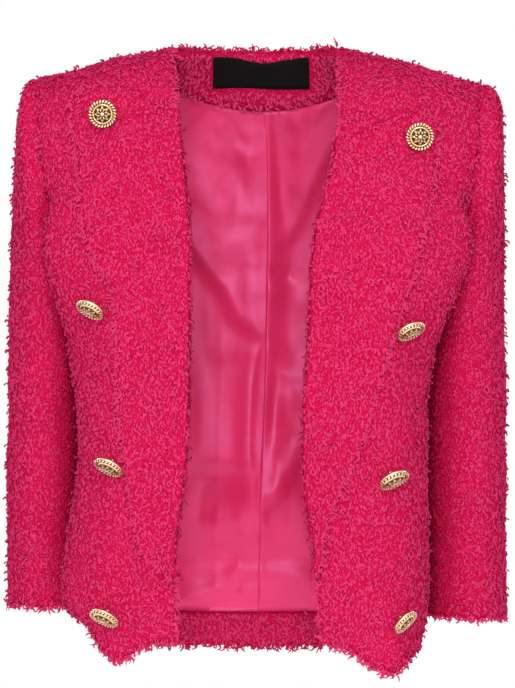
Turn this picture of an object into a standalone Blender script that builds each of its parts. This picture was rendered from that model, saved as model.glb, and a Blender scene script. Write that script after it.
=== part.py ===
"""Cropped boucle tweed jacket, collarless and double breasted, worn open on an unseen form.

The overlapping fronts are turned back as wide lapels. Every piece is a cloth wall (or a button)
worked out from the sizes and short tables below. Metres, +Z up, the front faces -Y and +X is the
wearer's left. The origin lies midway between the two points where the shoulder seams meet the neck.
"""
import math

import bmesh
import bpy
import numpy as np
from mathutils import Vector
from mathutils.bvhtree import BVHTree

# ---------------------------------------------------------------- driving sizes
TWEED = 0.0030            # boucle cloth, curls included
FACING = 0.0022           # inside strips of the same cloth
SATIN = 0.0010            # back lining
LABEL_THICK = 0.0006
SEAM = 0.0003             # space between two sewn pieces
LAYER = 0.0003            # space between two layers that lie on each other
LAPEL_ROLL = 0.0036       # how far the turned edge stands off at the fold
LAPEL_ROLL_WIDTH = 0.014
LAPEL_EDGE = 0.0010       # room between the front's own edge and the lapel turned round it
LAPEL_RECESS = LAPEL_EDGE + TWEED
NECK_FACING_TOP = 1.995   # station of the facing's upper edge
HEM_FACING_TALL = 0.030
LINING_ROOM = 0.003       # stations between the lining's ends and the facings
PLEAT_STAND = 0.0030      # how far the pleat's upper edge stands off
LABEL_WIDE, LABEL_TALL = 0.0925, 0.0275
LABEL_AT = (-0.0022, -0.0122)
BUTTON_ACROSS = 0.0245
FOOT_SINK = 0.0002        # extra room under a shank's flat foot on curved cloth
EDGE_WAVE = 0.0010        # unevenness of the raw edges

ROWS_BELOW = 14           # rows of the body from hem to underarm
ROWS_ABOVE = 12           # rows from underarm to shoulder seam, one per sleeve segment
FRONT_COLUMNS = 13
BACK_COLUMNS = 6          # between side and neck line, and again from there to the centre
SLEEVE_SEGMENTS = 2 * ROWS_ABOVE
LAPEL_TURN = 3            # columns of a lapel that go round the front's edge
BUTTON_SEGMENTS = 18

SIGN = {"left": -1.0, "right": 1.0}      # the sides as seen from the front

# ---------------------------------------------------------------- tables
# Stations v: 0 hem, 1 underarm, 2 shoulder seam. x is measured outward from the centre plane.
# open: the turned front edge; face: fullest part of the front; turn: where it rounds to the side;
# tuck: the hollow in front of the underarm; side: the side seam. dip: height against column z.
FRONT_NAMES = ("v z x_open y_open x_face y_face x_turn y_turn x_tuck y_tuck x_side "
               "dip_face dip_turn dip_tuck dip_side")
FRONT_ROWS = {
    "left": [
        (0.00, -0.5235, 0.0769, -0.098, 0.1250, -0.106, 0.1560, -0.066, 0.1480, -0.030, 0.1380,
         -0.0010, 0.0160, 0.0130, 0.0065),
        (0.11, -0.4870, 0.0769, -0.100, 0.1270, -0.108, 0.1765, -0.066, 0.1620, -0.030, 0.1460,
         -0.0040, 0, 0, 0),
        (0.22, -0.4520, 0.0765, -0.101, 0.1260, -0.108, 0.1740, -0.066, 0.1600, -0.030, 0.1455,
         -0.0010, 0, 0, 0),
        (0.33, -0.4170, 0.0735, -0.102, 0.1230, -0.109, 0.1685, -0.065, 0.1560, -0.030, 0.1430,
         0, 0, 0, 0),
        (0.52, -0.3560, 0.0660, -0.104, 0.1180, -0.110, 0.1612, -0.063, 0.1515, -0.029, 0.1395,
         0, 0, 0, 0),
        (0.73, -0.2900, 0.0645, -0.105, 0.1190, -0.110, 0.1670, -0.064, 0.1550, -0.030, 0.1415,
         0, 0, 0, 0),
        (0.85, -0.2525, 0.0640, -0.105, 0.1210, -0.110, 0.1740, -0.066, 0.1595, -0.033, 0.1460,
         0, 0, 0, 0),
        (1.00, -0.2050, 0.0640, -0.102, 0.1240, -0.107, 0.1860, -0.071, 0.1620, -0.036, 0.1520,
         0, -0.006, -0.003, 0),
        (1.25, -0.1650, 0.0642, -0.094, 0.1270, -0.099, 0.1935, -0.066, 0.1800, -0.049, 0.1640,
         0, -0.008, -0.010, 0),
        (1.50, -0.1150, 0.0690, -0.079, 0.1260, -0.084, 0.1760, -0.068, 0.1870, -0.060, 0.1880,
         0, -0.001, -0.001, 0),
        (1.75, -0.0420, 0.0765, -0.048, 0.1260, -0.058, 0.1680, -0.051, 0.1860, -0.045, 0.1950,
         0, -0.005, -0.008, 0),
        (1.90, -0.0110, 0.0810, -0.022, 0.1260, -0.031, 0.1650, -0.027, 0.1820, -0.022, 0.1960,
         -0.0085, -0.0170, -0.0195, 0),
        (2.00, 0.0, 0.0824, 0.0, 0.1200, 0.0, 0.1580, 0.0, 0.1780, 0.0, 0.1960,
         0, 0, 0, 0),
    ],
    "right": [
        (0.00, -0.5240, 0.0505, -0.098, 0.1070, -0.106, 0.1370, -0.064, 0.1340, -0.030, 0.1270,
         -0.0080, 0.0020, 0.0010, 0.0),
        (0.11, -0.4870, 0.0470, -0.100, 0.1060, -0.109, 0.1440, -0.064, 0.1415, -0.030, 0.1340,
         -0.0030, 0, 0, 0),
        (0.22, -0.4520, 0.0435, -0.102, 0.1030, -0.110, 0.1440, -0.064, 0.1415, -0.030, 0.1350,
         -0.0010, 0, 0, 0),
        (0.33, -0.4170, 0.0385, -0.103, 0.1000, -0.111, 0.1435, -0.064, 0.1405, -0.030, 0.1345,
         0, 0, 0, 0),
        (0.44, -0.3825, 0.0340, -0.104, 0.0970, -0.111, 0.1425, -0.063, 0.1395, -0.030, 0.1335,
         0, 0, 0, 0),
        (0.66, -0.3130, 0.0345, -0.105, 0.0970, -0.111, 0.1425, -0.062, 0.1400, -0.030, 0.1340,
         0, 0, 0, 0),
        (0.73, -0.2900, 0.0362, -0.105, 0.0990, -0.111, 0.1465, -0.063, 0.1430, -0.030, 0.1360,
         0, 0, 0, 0),
        (0.85, -0.2525, 0.0385, -0.105, 0.1020, -0.110, 0.1560, -0.064, 0.1500, -0.032, 0.1410,
         0, 0, 0, 0),
        (1.00, -0.2050, 0.0410, -0.102, 0.1080, -0.107, 0.1735, -0.069, 0.1585, -0.036, 0.1480,
         0, -0.003, -0.002, 0),
        (1.25, -0.1650, 0.0450, -0.094, 0.1130, -0.099, 0.1825, -0.066, 0.1720, -0.049, 0.1600,
         0, -0.008, -0.010, 0),
        (1.50, -0.1150, 0.0575, -0.079, 0.1180, -0.084, 0.1680, -0.068, 0.1790, -0.060, 0.1820,
         0, -0.003, -0.004, 0),
        (1.75, -0.0440, 0.0660, -0.048, 0.1190, -0.058, 0.1610, -0.051, 0.1790, -0.045, 0.1890,
         0, -0.006, -0.009, 0),
        (1.90, -0.0120, 0.0682, -0.022, 0.1190, -0.031, 0.1590, -0.027, 0.1760, -0.022, 0.1900,
         -0.0100, -0.0190, -0.0220, 0),
        (2.00, 0.0, 0.0688, 0.0, 0.1120, 0.0, 0.1520, 0.0, 0.1720, 0.0, 0.1900,
         0, 0, 0, 0),
    ],
}

# The back, both halves alike. mid: the centre back; quarter: halfway to the neck line; neck: the
# line below the neck point; turn: shoulder blade to side, set in from the side by `inset`.
BACK_NAMES = ("v z_mid y_mid x_mid x_quarter y_quarter z_quarter x_neck y_neck z_neck "
              "inset y_turn lift_turn")
BACK_ROWS = [
    (0.00, -0.5455, 0.103, -0.0080, 0.040, 0.1025, -0.5455, 0.080, 0.0960, -0.5440, 0.014, 0.058, -0.014),
    (0.11, -0.4900, 0.103, -0.0070, 0.040, 0.1025, -0.4895, 0.080, 0.0960, -0.4885, 0.013, 0.058, 0.0),
    (0.33, -0.4170, 0.102, -0.0050, 0.040, 0.1015, -0.4170, 0.079, 0.0945, -0.4170, 0.012, 0.057, 0.0),
    (0.52, -0.3560, 0.100, -0.0030, 0.039, 0.0995, -0.3560, 0.078, 0.0930, -0.3560, 0.011, 0.056, 0.0),
    (0.73, -0.2900, 0.103, -0.0005, 0.040, 0.1020, -0.2900, 0.079, 0.0960, -0.2900, 0.011, 0.058, 0.0),
    (1.00, -0.2050, 0.108, 0.0010, 0.041, 0.1070, -0.2050, 0.080, 0.1020, -0.2050, 0.011, 0.063, 0.0),
    (1.25, -0.1680, 0.107, 0.0018, 0.041, 0.1060, -0.1680, 0.080, 0.1015, -0.1690, 0.020, 0.076, 0.002),
    (1.50, -0.1130, 0.101, 0.0020, 0.041, 0.1005, -0.1130, 0.080, 0.0970, -0.1130, 0.034, 0.083, 0.002),
    (1.75, -0.0450, 0.085, 0.0005, 0.044, 0.0800, -0.0430, 0.080, 0.0680, -0.0400, 0.040, 0.059, 0.006),
    (1.90, -0.0120, 0.071, 0.0, 0.048, 0.0600, -0.0120, 0.079, 0.0300, -0.0110, 0.040, 0.028, 0.004),
    (2.00, 0.0050, 0.062, 0.0, 0.050, 0.0450, 0.0040, 0.0, 0.0, 0.0, 0.040, 0.0, 0.0),
]

# Rings of a sleeve. out and in: its outer and under points; bow: how far the ring's front and back
# stand outward of the flat between them.
SLEEVE_NAMES = "t x_out z_out x_in z_in y_front y_back bow"
SLEEVE_ROWS = {
    "left": [
        (0.00, 0.1960, -0.0255, 0.1520, -0.2050, -0.052, 0.062, 0.0200),
        (0.03, 0.2060, -0.0275, 0.1530, -0.2085, -0.053, 0.064, 0.0215),
        (0.06, 0.2125, -0.0330, 0.1540, -0.2110, -0.054, 0.065, 0.0205),
        (0.10, 0.2170, -0.0490, 0.1550, -0.2135, -0.054, 0.066, 0.0185),
        (0.16, 0.2205, -0.0800, 0.1560, -0.2165, -0.053, 0.068, 0.0145),
        (0.24, 0.2240, -0.1250, 0.1575, -0.2200, -0.050, 0.070, 0.0090),
        (0.33, 0.2262, -0.1750, 0.1590, -0.2250, -0.047, 0.071, 0.0030),
        (0.42, 0.2280, -0.2300, 0.1600, -0.2400, -0.043, 0.071, 0.0),
        (0.58, 0.2292, -0.3150, 0.1610, -0.3150, -0.038, 0.070, 0.0),
        (0.78, 0.2302, -0.4050, 0.1620, -0.4050, -0.034, 0.067, 0.0),
        (1.00, 0.2296, -0.4980, 0.1625, -0.4980, -0.031, 0.062, 0.0),
    ],
    "right": [
        (0.00, 0.1900, -0.0305, 0.1480, -0.2050, -0.050, 0.060, 0.0160),
        (0.03, 0.2000, -0.0325, 0.1490, -0.2085, -0.051, 0.062, 0.0175),
        (0.06, 0.2075, -0.0380, 0.1500, -0.2110, -0.052, 0.063, 0.0165),
        (0.10, 0.2120, -0.0530, 0.1510, -0.2135, -0.052, 0.064, 0.0150),
        (0.16, 0.2135, -0.0830, 0.1520, -0.2165, -0.051, 0.066, 0.0120),
        (0.24, 0.2152, -0.1250, 0.1532, -0.2200, -0.049, 0.068, 0.0075),
        (0.33, 0.2160, -0.1750, 0.1540, -0.2250, -0.046, 0.070, 0.0025),
        (0.42, 0.2155, -0.2300, 0.1520, -0.2400, -0.042, 0.070, 0.0),
        (0.58, 0.2180, -0.3150, 0.1470, -0.3150, -0.037, 0.069, 0.0),
        (0.78, 0.2176, -0.4100, 0.1465, -0.4100, -0.033, 0.066, 0.0),
        (1.00, 0.2185, -0.5100, 0.1465, -0.5070, -0.030, 0.062, 0.0),
    ],
}

# Raw hem corners that hang lower: place across, half width and drop.
HEM_POINTS = {"front_left": (-0.1275, 0.017, 0.0160), "front_right": (0.1090, 0.026, 0.0190)}

# Lapels: width out from the fold at each height, and the height of the top edge across the width.
LAPEL_NAMES = "z wide"
LAPEL_ROWS = {
    "left": [(-0.4660, 0.010), (-0.4518, 0.027), (-0.4258, 0.035), (-0.3910, 0.046),
             (-0.3565, 0.055), (-0.3131, 0.060), (-0.2525, 0.062), (-0.2222, 0.066),
             (-0.2049, 0.0745), (-0.1880, 0.084), (-0.1570, 0.093), (-0.1050, 0.092),
             (-0.0850, 0.095), (-0.0600, 0.094)],
    "right": [(-0.4640, 0.006), (-0.4345, 0.011), (-0.4000, 0.026), (-0.3825, 0.036),
              (-0.3565, 0.048), (-0.3131, 0.060), (-0.2785, 0.067), (-0.2525, 0.074),
              (-0.2265, 0.081), (-0.2005, 0.088), (-0.1567, 0.094), (-0.1306, 0.092),
              (-0.1048, 0.092), (-0.0858, 0.092)],
}
LAPEL_TOP_NAMES = "across z"
LAPEL_TOP_ROWS = {
    "left": [(0.0, -0.0610), (0.20, -0.0570), (0.38, -0.0450), (0.50, -0.0395), (0.72, -0.0395),
             (0.90, -0.0430), (1.0, -0.0520)],
    "right": [(0.0, -0.0850), (0.20, -0.0820), (0.36, -0.0735), (0.57, -0.0650), (0.79, -0.0620),
              (0.92, -0.0675), (1.0, -0.0740)],
}

# Soft ridges (+) and troughs (-): a line from (x0, z0) to (x1, z1), its half width and height.
RIDGE_NAMES = "x0 z0 x1 z1 wide high"
FRONT_RIDGES = {
    "left": [(0.136, -0.440, 0.140, -0.535, 0.013, 0.0030),
             (0.112, -0.400, 0.106, -0.500, 0.012, -0.0026),
             (0.090, -0.430, 0.088, -0.530, 0.012, 0.0016)],
    "right": [(0.122, -0.380, 0.124, -0.530, 0.011, 0.0028),
              (0.094, -0.360, 0.090, -0.500, 0.012, -0.0030),
              (0.064, -0.440, 0.066, -0.530, 0.012, 0.0016)],
}
BACK_RIDGES = [(-0.060, -0.330, -0.064, -0.540, 0.016, 0.0026),
               (0.055, -0.320, 0.062, -0.540, 0.016, 0.0024),
               (-0.110, -0.180, -0.070, -0.330, 0.016, -0.0020),
               (0.110, -0.180, 0.066, -0.330, 0.016, -0.0020)]
# Folds of the lining, raised toward the open front.
LINING_RIDGES = [(-0.060, -0.105, -0.030, -0.165, 0.019, 0.0046),
                 (0.060, -0.060, 0.042, -0.115, 0.017, 0.0042),
                 (-0.045, -0.240, -0.020, -0.310, 0.020, 0.0030),
                 (0.042, -0.330, 0.006, -0.402, 0.016, 0.0056),
                 (-0.055, -0.428, -0.020, -0.444, 0.018, 0.0042)]

# Buttons: shank foot on the cloth, and the way the face looks.
BUTTON_NAMES = "x z nx ny nz"
BUTTON_ROWS = {
    "button_left_1": (-0.1380, -0.0690, -0.10, -0.985, -0.14),
    "button_left_2": (-0.1430, -0.2350, -0.42, -0.40, -0.81),
    "button_left_3": (-0.1275, -0.3710, -0.40, -0.40, -0.82),
    "button_left_4": (-0.1345, -0.4990, -0.38, -0.42, -0.82),
    "button_right_1": (0.1330, -0.0885, 0.10, -0.985, -0.14),
    "button_right_2": (0.1200, -0.2530, 0.38, -0.40, -0.83),
    "button_right_3": (0.1085, -0.3820, 0.38, -0.40, -0.83),
    "button_right_4": (0.1165, -0.5025, 0.66, -0.38, -0.65),
}
# Half section of a button's head: radius and height above its middle, both over the outer radius.
BUTTON_SECTION = [(0.25, -0.30), (0.86, -0.24), (1.00, -0.04), (0.93, 0.10), (0.82, 0.10),
                  (0.73, 0.04), (0.64, 0.16), (0.38, 0.29)]

COLOURS = {   # red, green, blue, roughness, metallic
    "tweed": (0.76, 0.010, 0.115, 0.92, 0.0),
    "satin": (0.66, 0.035, 0.150, 0.38, 0.0),
    "label": (0.012, 0.012, 0.014, 0.70, 0.0),
    "gold": (0.76, 0.60, 0.36, 0.28, 1.0),
}


# ---------------------------------------------------------------- curves and tables
def monotone_slopes(key, data):
    """Tangents of a cubic through the table that never overshoots it."""
    step = np.diff(key)[:, None]
    rise = np.diff(data, axis=0) / step
    slope = np.zeros_like(data)
    slope[0], slope[-1] = rise[0], rise[-1]
    if len(key) > 2:
        before, after = rise[:-1], rise[1:]
        w0, w1 = 2 * step[1:] + step[:-1], step[1:] + 2 * step[:-1]
        same = before * after > 0
        safe_before = np.where(same, before, 1.0)
        safe_after = np.where(same, after, 1.0)
        mean = (w0 + w1) / (w0 / safe_before + w1 / safe_after)
        slope[1:-1] = np.where(same, mean, 0.0)
    return slope


def cubic(key, data, slope, at):
    """Value of the cubic at one key."""
    at = min(max(at, key[0]), key[-1])
    i = min(int(np.searchsorted(key, at, side="right")) - 1, len(key) - 2)
    h = key[i + 1] - key[i]
    s = (at - key[i]) / h
    return ((1 + 2 * s) * (1 - s) ** 2 * data[i] + s * (1 - s) ** 2 * h * slope[i]
            + s * s * (3 - 2 * s) * data[i + 1] - s * s * (1 - s) * h * slope[i + 1])


class Table:
    """A short table with named columns, read as smooth curves of its first column."""

    def __init__(self, names, rows):
        self.names = names.split()[1:]
        self.key = np.array([row[0] for row in rows], float)
        self.data = np.array([row[1:] for row in rows], float)
        self.slope = monotone_slopes(self.key, self.data)

    def at(self, key):
        return dict(zip(self.names, cubic(self.key, self.data, self.slope, key)))


class Line:
    """A smooth line through a few guide points, by its own length."""

    def __init__(self, points):
        self.points = np.array(points, float)
        steps = np.linalg.norm(np.diff(self.points, axis=0), axis=1)
        self.mark = np.concatenate([[0.0], np.cumsum(np.maximum(steps, 1e-6))])
        self.slope = monotone_slopes(self.mark, self.points)
        self.length = self.mark[-1]

    def at(self, distance):
        return cubic(self.mark, self.points, self.slope, distance)


FRONT = {side: Table(FRONT_NAMES, rows) for side, rows in FRONT_ROWS.items()}
BACK = Table(BACK_NAMES, BACK_ROWS)
SLEEVE = {side: Table(SLEEVE_NAMES, rows) for side, rows in SLEEVE_ROWS.items()}
LAPEL = {side: Table(LAPEL_NAMES, rows) for side, rows in LAPEL_ROWS.items()}
LAPEL_TOP = {side: Table(LAPEL_TOP_NAMES, rows) for side, rows in LAPEL_TOP_ROWS.items()}


def smooth(value, low, high):
    s = min(max((value - low) / (high - low), 0.0), 1.0)
    return s * s * (3 - 2 * s)


def ridge_height(rows, x, z):
    """Sum of the soft ridges and troughs at one place."""
    total = 0.0
    for x0, z0, x1, z1, wide, high in rows:
        ax, az = x1 - x0, z1 - z0
        s = min(max(((x - x0) * ax + (z - z0) * az) / (ax * ax + az * az), 0.0), 1.0)
        gap = math.hypot(x - x0 - s * ax, z - z0 - s * az)
        total += high * math.exp(-(gap / wide) ** 2)
    return total


# ---------------------------------------------------------------- the garment's outer faces
def sleeve_point(side, t, angle):
    """A point on a sleeve ring: angle 0 is its outer point, 90 its front and 180 its under point."""
    row = SLEEVE[side].at(t)
    c, s = math.cos(math.radians(angle)), math.sin(math.radians(angle))
    early = max(0.0, 1 - t / 0.2)
    lean = -abs(c) ** (1 + 0.5 * early) if c < 0 else c
    x = (row["x_out"] + row["x_in"]) / 2 + (row["x_out"] - row["x_in"]) / 2 * lean + row["bow"] * s * s
    z = (row["z_out"] + row["z_in"]) / 2 + (row["z_out"] - row["z_in"]) / 2 * c
    if c < 0:
        s *= abs(s) ** (0.35 * early)
    middle = (row["y_front"] + row["y_back"]) / 2
    y = middle * (1 - early * c * c) - (row["y_back"] - row["y_front"]) / 2 * s
    if t == 0:
        y = (row["y_front"] if s > 0 else -row["y_back"]) * s
    return np.array((x, y, z))


def armhole_point(side, v, face):
    """The armhole at station v, on the front (face 1) or the back (face -1)."""
    return sleeve_point(side, 0, face * 180 * (2 - v))


def front_point(side, u, v):
    """The front's outer face: u 0 at the turned edge and 1 at the side seam or armhole."""
    row = FRONT[side].at(v)
    z = row["z"]
    if v >= 2:
        first = np.array((row["x_open"], 0.0, 0.0))
        return first + (armhole_point(side, 2, 1) - first) * u
    end = armhole_point(side, v, 1) if v > 1 else (row["x_side"], 0.0, z + row["dip_side"])
    recess = LAPEL_RECESS * smooth(z, -0.470, -0.450) * (1 - smooth(z, -0.050, -0.020))
    line = Line([(row["x_open"] + recess, row["y_open"], z),
                 (row["x_face"], row["y_face"], z + row["dip_face"]),
                 (row["x_turn"], row["y_turn"], z + row["dip_turn"]),
                 (row["x_tuck"], row["y_tuck"], z + row["dip_tuck"]), end])
    point = line.at(u * line.length)
    fade = (1 - u ** 6) * (1 - smooth(v, 1.6, 1.9))
    point[1] -= ridge_height(FRONT_RIDGES[side], point[0], point[2]) * fade
    return point


def back_point(w, v):
    """The back's outer face: w -1 at the left side, 0 at the centre and 1 at the right side."""
    row = BACK.at(v)
    guides = []
    for side in ("left", "right"):
        sign = SIGN[side]
        front = FRONT[side].at(v)
        if v > 1:
            end = armhole_point(side, v, -1)
        else:
            end = np.array((front["x_side"], 0.0, front["z"] + front["dip_side"]))
        tip = np.array((row["x_neck"], row["y_neck"], row["z_neck"]))
        if v > 1.9:
            share = (v - 1.9) / 0.1
            before = BACK.at(1.9)
            neck = np.array((front["x_open"], 0.0, 0.0))
            low = np.array((before["x_neck"], before["y_neck"], before["z_neck"]))
            arc = math.sin(share * math.pi / 2)
            tip = np.array((low[0] + (FRONT[side].at(2)["x_open"] - low[0]) * share,
                            low[1] * (1 - share), low[2] + (neck[2] - low[2]) * arc))
        turn = np.array((end[0] - row["inset"], row["y_turn"], end[2] + row["lift_turn"]))
        quarter = np.array((row["x_quarter"], row["y_quarter"], row["z_quarter"]))
        half = [end, turn, tip, quarter]
        for p in half:
            p[0] *= sign
        quarter[0] += row["x_mid"] * 0.5
        guides.append(half)
    middle = np.array((row["x_mid"], row["y_mid"], row["z_mid"]))
    points = guides[0] + [middle] + guides[1][::-1]
    if v >= 2 and abs(w) > 0.5:
        end, tip = (points[0], points[2]) if w < 0 else (points[8], points[6])
        return tip + (end - tip) * (abs(w) - 0.5) * 2
    line = Line(points)
    anchors = np.array((-1.0, -0.5, 0.0, 0.5, 1.0))
    place = float(np.interp(w, anchors, line.mark[[0, 2, 4, 6, 8]]))
    point = line.at(place)
    fade = (1 - abs(w) ** 8) * (1 - smooth(v, 1.3, 1.7))
    point[1] += ridge_height(BACK_RIDGES, point[0], point[2]) * fade
    return point


def stations():
    below = [i / ROWS_BELOW for i in range(ROWS_BELOW)]
    return below + [1 + i / ROWS_ABOVE for i in range(ROWS_ABOVE + 1)]


# ---------------------------------------------------------------- grids and walls
def grid_normals(grid, wrap=False):
    """Unit normals of a grid of points, summed from the cells round each."""
    ring = np.concatenate([grid, grid[:, :1]], axis=1) if wrap else grid
    cell = np.cross(ring[1:, 1:] - ring[:-1, :-1], ring[1:, :-1] - ring[:-1, 1:])
    total = np.zeros_like(ring)
    for i in (0, 1):
        for j in (0, 1):
            total[i:i + cell.shape[0], j:j + cell.shape[1]] += cell
    if wrap:
        total[:, 0] += total[:, -1]
        total = total[:, :-1]
    return total / np.maximum(np.linalg.norm(total, axis=2, keepdims=True), 1e-12)


def unit(v):
    return v / max(np.linalg.norm(v), 1e-12)


def split(points, a, b, c, d):
    """Two triangles of a four-cornered face, cut along its shorter diagonal."""
    if np.linalg.norm(points[a] - points[c]) <= np.linalg.norm(points[b] - points[d]):
        return [(a, b, c), (a, c, d)]
    return [(a, b, d), (b, c, d)]


def sheet(grid, start=0, wrap=False):
    """Vertices and triangles of a grid as an open sheet."""
    rows, cols = grid.shape[:2]
    points = grid.reshape(-1, 3)
    faces = []
    for i in range(rows - 1):
        for j in range(cols if wrap else cols - 1):
            k = (j + 1) % cols
            faces += split(points, i * cols + j, i * cols + k, (i + 1) * cols + k, (i + 1) * cols + j)
    return [tuple(p) for p in points], [tuple(start + c for c in face) for face in faces]


def close_wall(name, top, bottom, kind, wrap=False):
    """One closed body between two grids of the same size."""
    rows, cols = top.shape[:2]
    verts, faces = sheet(top, 0, wrap)
    n = rows * cols
    more, under = sheet(bottom, n, wrap)
    verts += more
    faces += [face[::-1] for face in under]
    rim = [i * cols for i in range(rows)], [i * cols + cols - 1 for i in range(rows)]
    first, last = list(range(cols)), [(rows - 1) * cols + j for j in range(cols)]
    if wrap:
        loops = [first + [first[0]], (last + [last[0]])[::-1]]
    else:
        loops = [first + rim[1][1:] + last[-2::-1] + rim[0][-2::-1]]
    points = np.concatenate([top.reshape(-1, 3), bottom.reshape(-1, 3)])
    for loop in loops:
        for a, b in zip(loop, loop[1:]):
            faces += split(points, b, a, a + n, b + n)
    return make_object(name, verts, faces, kind)


def make_material(kind):
    material = bpy.data.materials.get(kind)
    if material is None:
        red, green, blue, rough, metal = COLOURS[kind]
        material = bpy.data.materials.new(kind)
        material.use_nodes = True
        shader = material.node_tree.nodes["Principled BSDF"]
        shader.inputs["Base Color"].default_value = (red, green, blue, 1.0)
        shader.inputs["Roughness"].default_value = rough
        shader.inputs["Metallic"].default_value = metal
    return material


def make_object(name, verts, faces, kind):
    mesh = bpy.data.meshes.new(name)
    mesh.from_pydata(verts, [], faces)
    work = bmesh.new()
    work.from_mesh(mesh)
    bmesh.ops.recalc_face_normals(work, faces=work.faces)
    bmesh.ops.triangulate(work, faces=[f for f in work.faces if len(f.verts) > 3])
    if work.calc_volume(signed=True) < 0:
        bmesh.ops.reverse_faces(work, faces=work.faces)
    work.to_mesh(mesh)
    work.free()
    thing = bpy.data.objects.new(name, mesh)
    bpy.context.scene.collection.objects.link(thing)
    mesh.materials.append(make_material(kind))
    return thing


def facing_out(grid, normals, inside):
    """Turn the normals so that they point away from a place inside."""
    i, j = grid.shape[0] // 3, grid.shape[1] // 2
    return normals if np.dot(normals[i, j], grid[i, j] - np.array(inside)) > 0 else -normals


def seat(grid, away, bases, gap=LAYER, rounds=14, reach=0.012):
    """Move a layer's near face off the faces it lies on. Each base is a grid with its normals."""
    verts, faces, points, normals = [], [], [], []
    for base, normal in bases:
        v, f = sheet(base, len(verts))
        verts, faces = verts + v, faces + f
        points.append(base.reshape(-1, 3))
        normals.append(normal.reshape(-1, 3))
    tree = BVHTree.FromPolygons(verts, faces)
    points, normals = np.concatenate(points), np.concatenate(normals)
    rows, cols = grid.shape[:2]
    grid = grid.copy()
    for _ in range(rounds):
        push = np.zeros((rows, cols))
        for i in range(rows):
            for j in range(cols):
                for di, dj in ((0, 0), (1, 0), (0, 1), (1, 1), (1, -1)):
                    i1, j1 = min(i + di, rows - 1), min(max(j + dj, 0), cols - 1)
                    corners = [(i, j), (i1, j1)]
                    spot = (grid[i, j] + grid[i1, j1]) / 2
                    out = unit(away[i, j] + away[i1, j1])
                    start = Vector(spot + out * reach)
                    hit = tree.ray_cast(start, Vector(-out), 2 * reach)
                    if hit[0] is not None and hit[3] - reach < gap:
                        for c in corners:
                            push[c] = max(push[c], gap - (hit[3] - reach))
        v, f = sheet(grid)
        layer = BVHTree.FromPolygons(v, f)
        for point, out in zip(points, normals):
            hit = layer.ray_cast(Vector(point + out * reach), Vector(-out), 1.6 * reach)
            if hit[0] is not None and reach - hit[3] < gap:
                for corner in f[hit[2]]:
                    c = divmod(corner, cols)
                    push[c] = max(push[c], gap - (reach - hit[3]))
        if push.max() < 1e-6:
            break
        grid += away * push[:, :, None]
    return grid


# ---------------------------------------------------------------- body and sleeves
def front_grid(side):
    grid = np.array([[front_point(side, j / FRONT_COLUMNS, v) for j in range(FRONT_COLUMNS + 1)]
                     for v in stations()])
    grid[:, :, 0] *= SIGN[side]
    return grid


def back_grid():
    half = 2 * BACK_COLUMNS
    places = [j / half - 1 for j in range(2 * half + 1)]
    return np.array([[back_point(w, v) for w in places] for v in stations()])


def sleeve_grid(side):
    marks = [0, 0.03, 0.055, 0.085, 0.12, 0.165, 0.215, 0.27, 0.34, 0.42, 0.50, 0.59, 0.69, 0.79,
             0.90, 1.0]
    angles = [360.0 * j / SLEEVE_SEGMENTS for j in range(SLEEVE_SEGMENTS)]
    grid = np.array([[sleeve_point(side, t, a) for a in angles] for t in marks])
    wave = np.array([math.sin(3 * math.radians(a)) + 0.6 * math.sin(7 * math.radians(a) + 1)
                     for a in angles])
    grid[-1, :, 2] += EDGE_WAVE * wave
    grid[:, :, 0] *= SIGN[side]
    return grid


def wave_edge(name, grid):
    """A slightly uneven raw edge along the first row of a panel, with its hanging corner."""
    at, half, drop = HEM_POINTS.get(name, (0.0, 1.0, 0.0))
    for j in range(grid.shape[1]):
        x, y = grid[0, j, :2]
        grid[0, j, 2] += EDGE_WAVE * (math.sin(x * 190) + 0.6 * math.sin(x * 411 + 1.0))
        if y < -0.06:
            grid[0, j, 2] -= drop * math.exp(-((x - at) / half) ** 2)


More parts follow.
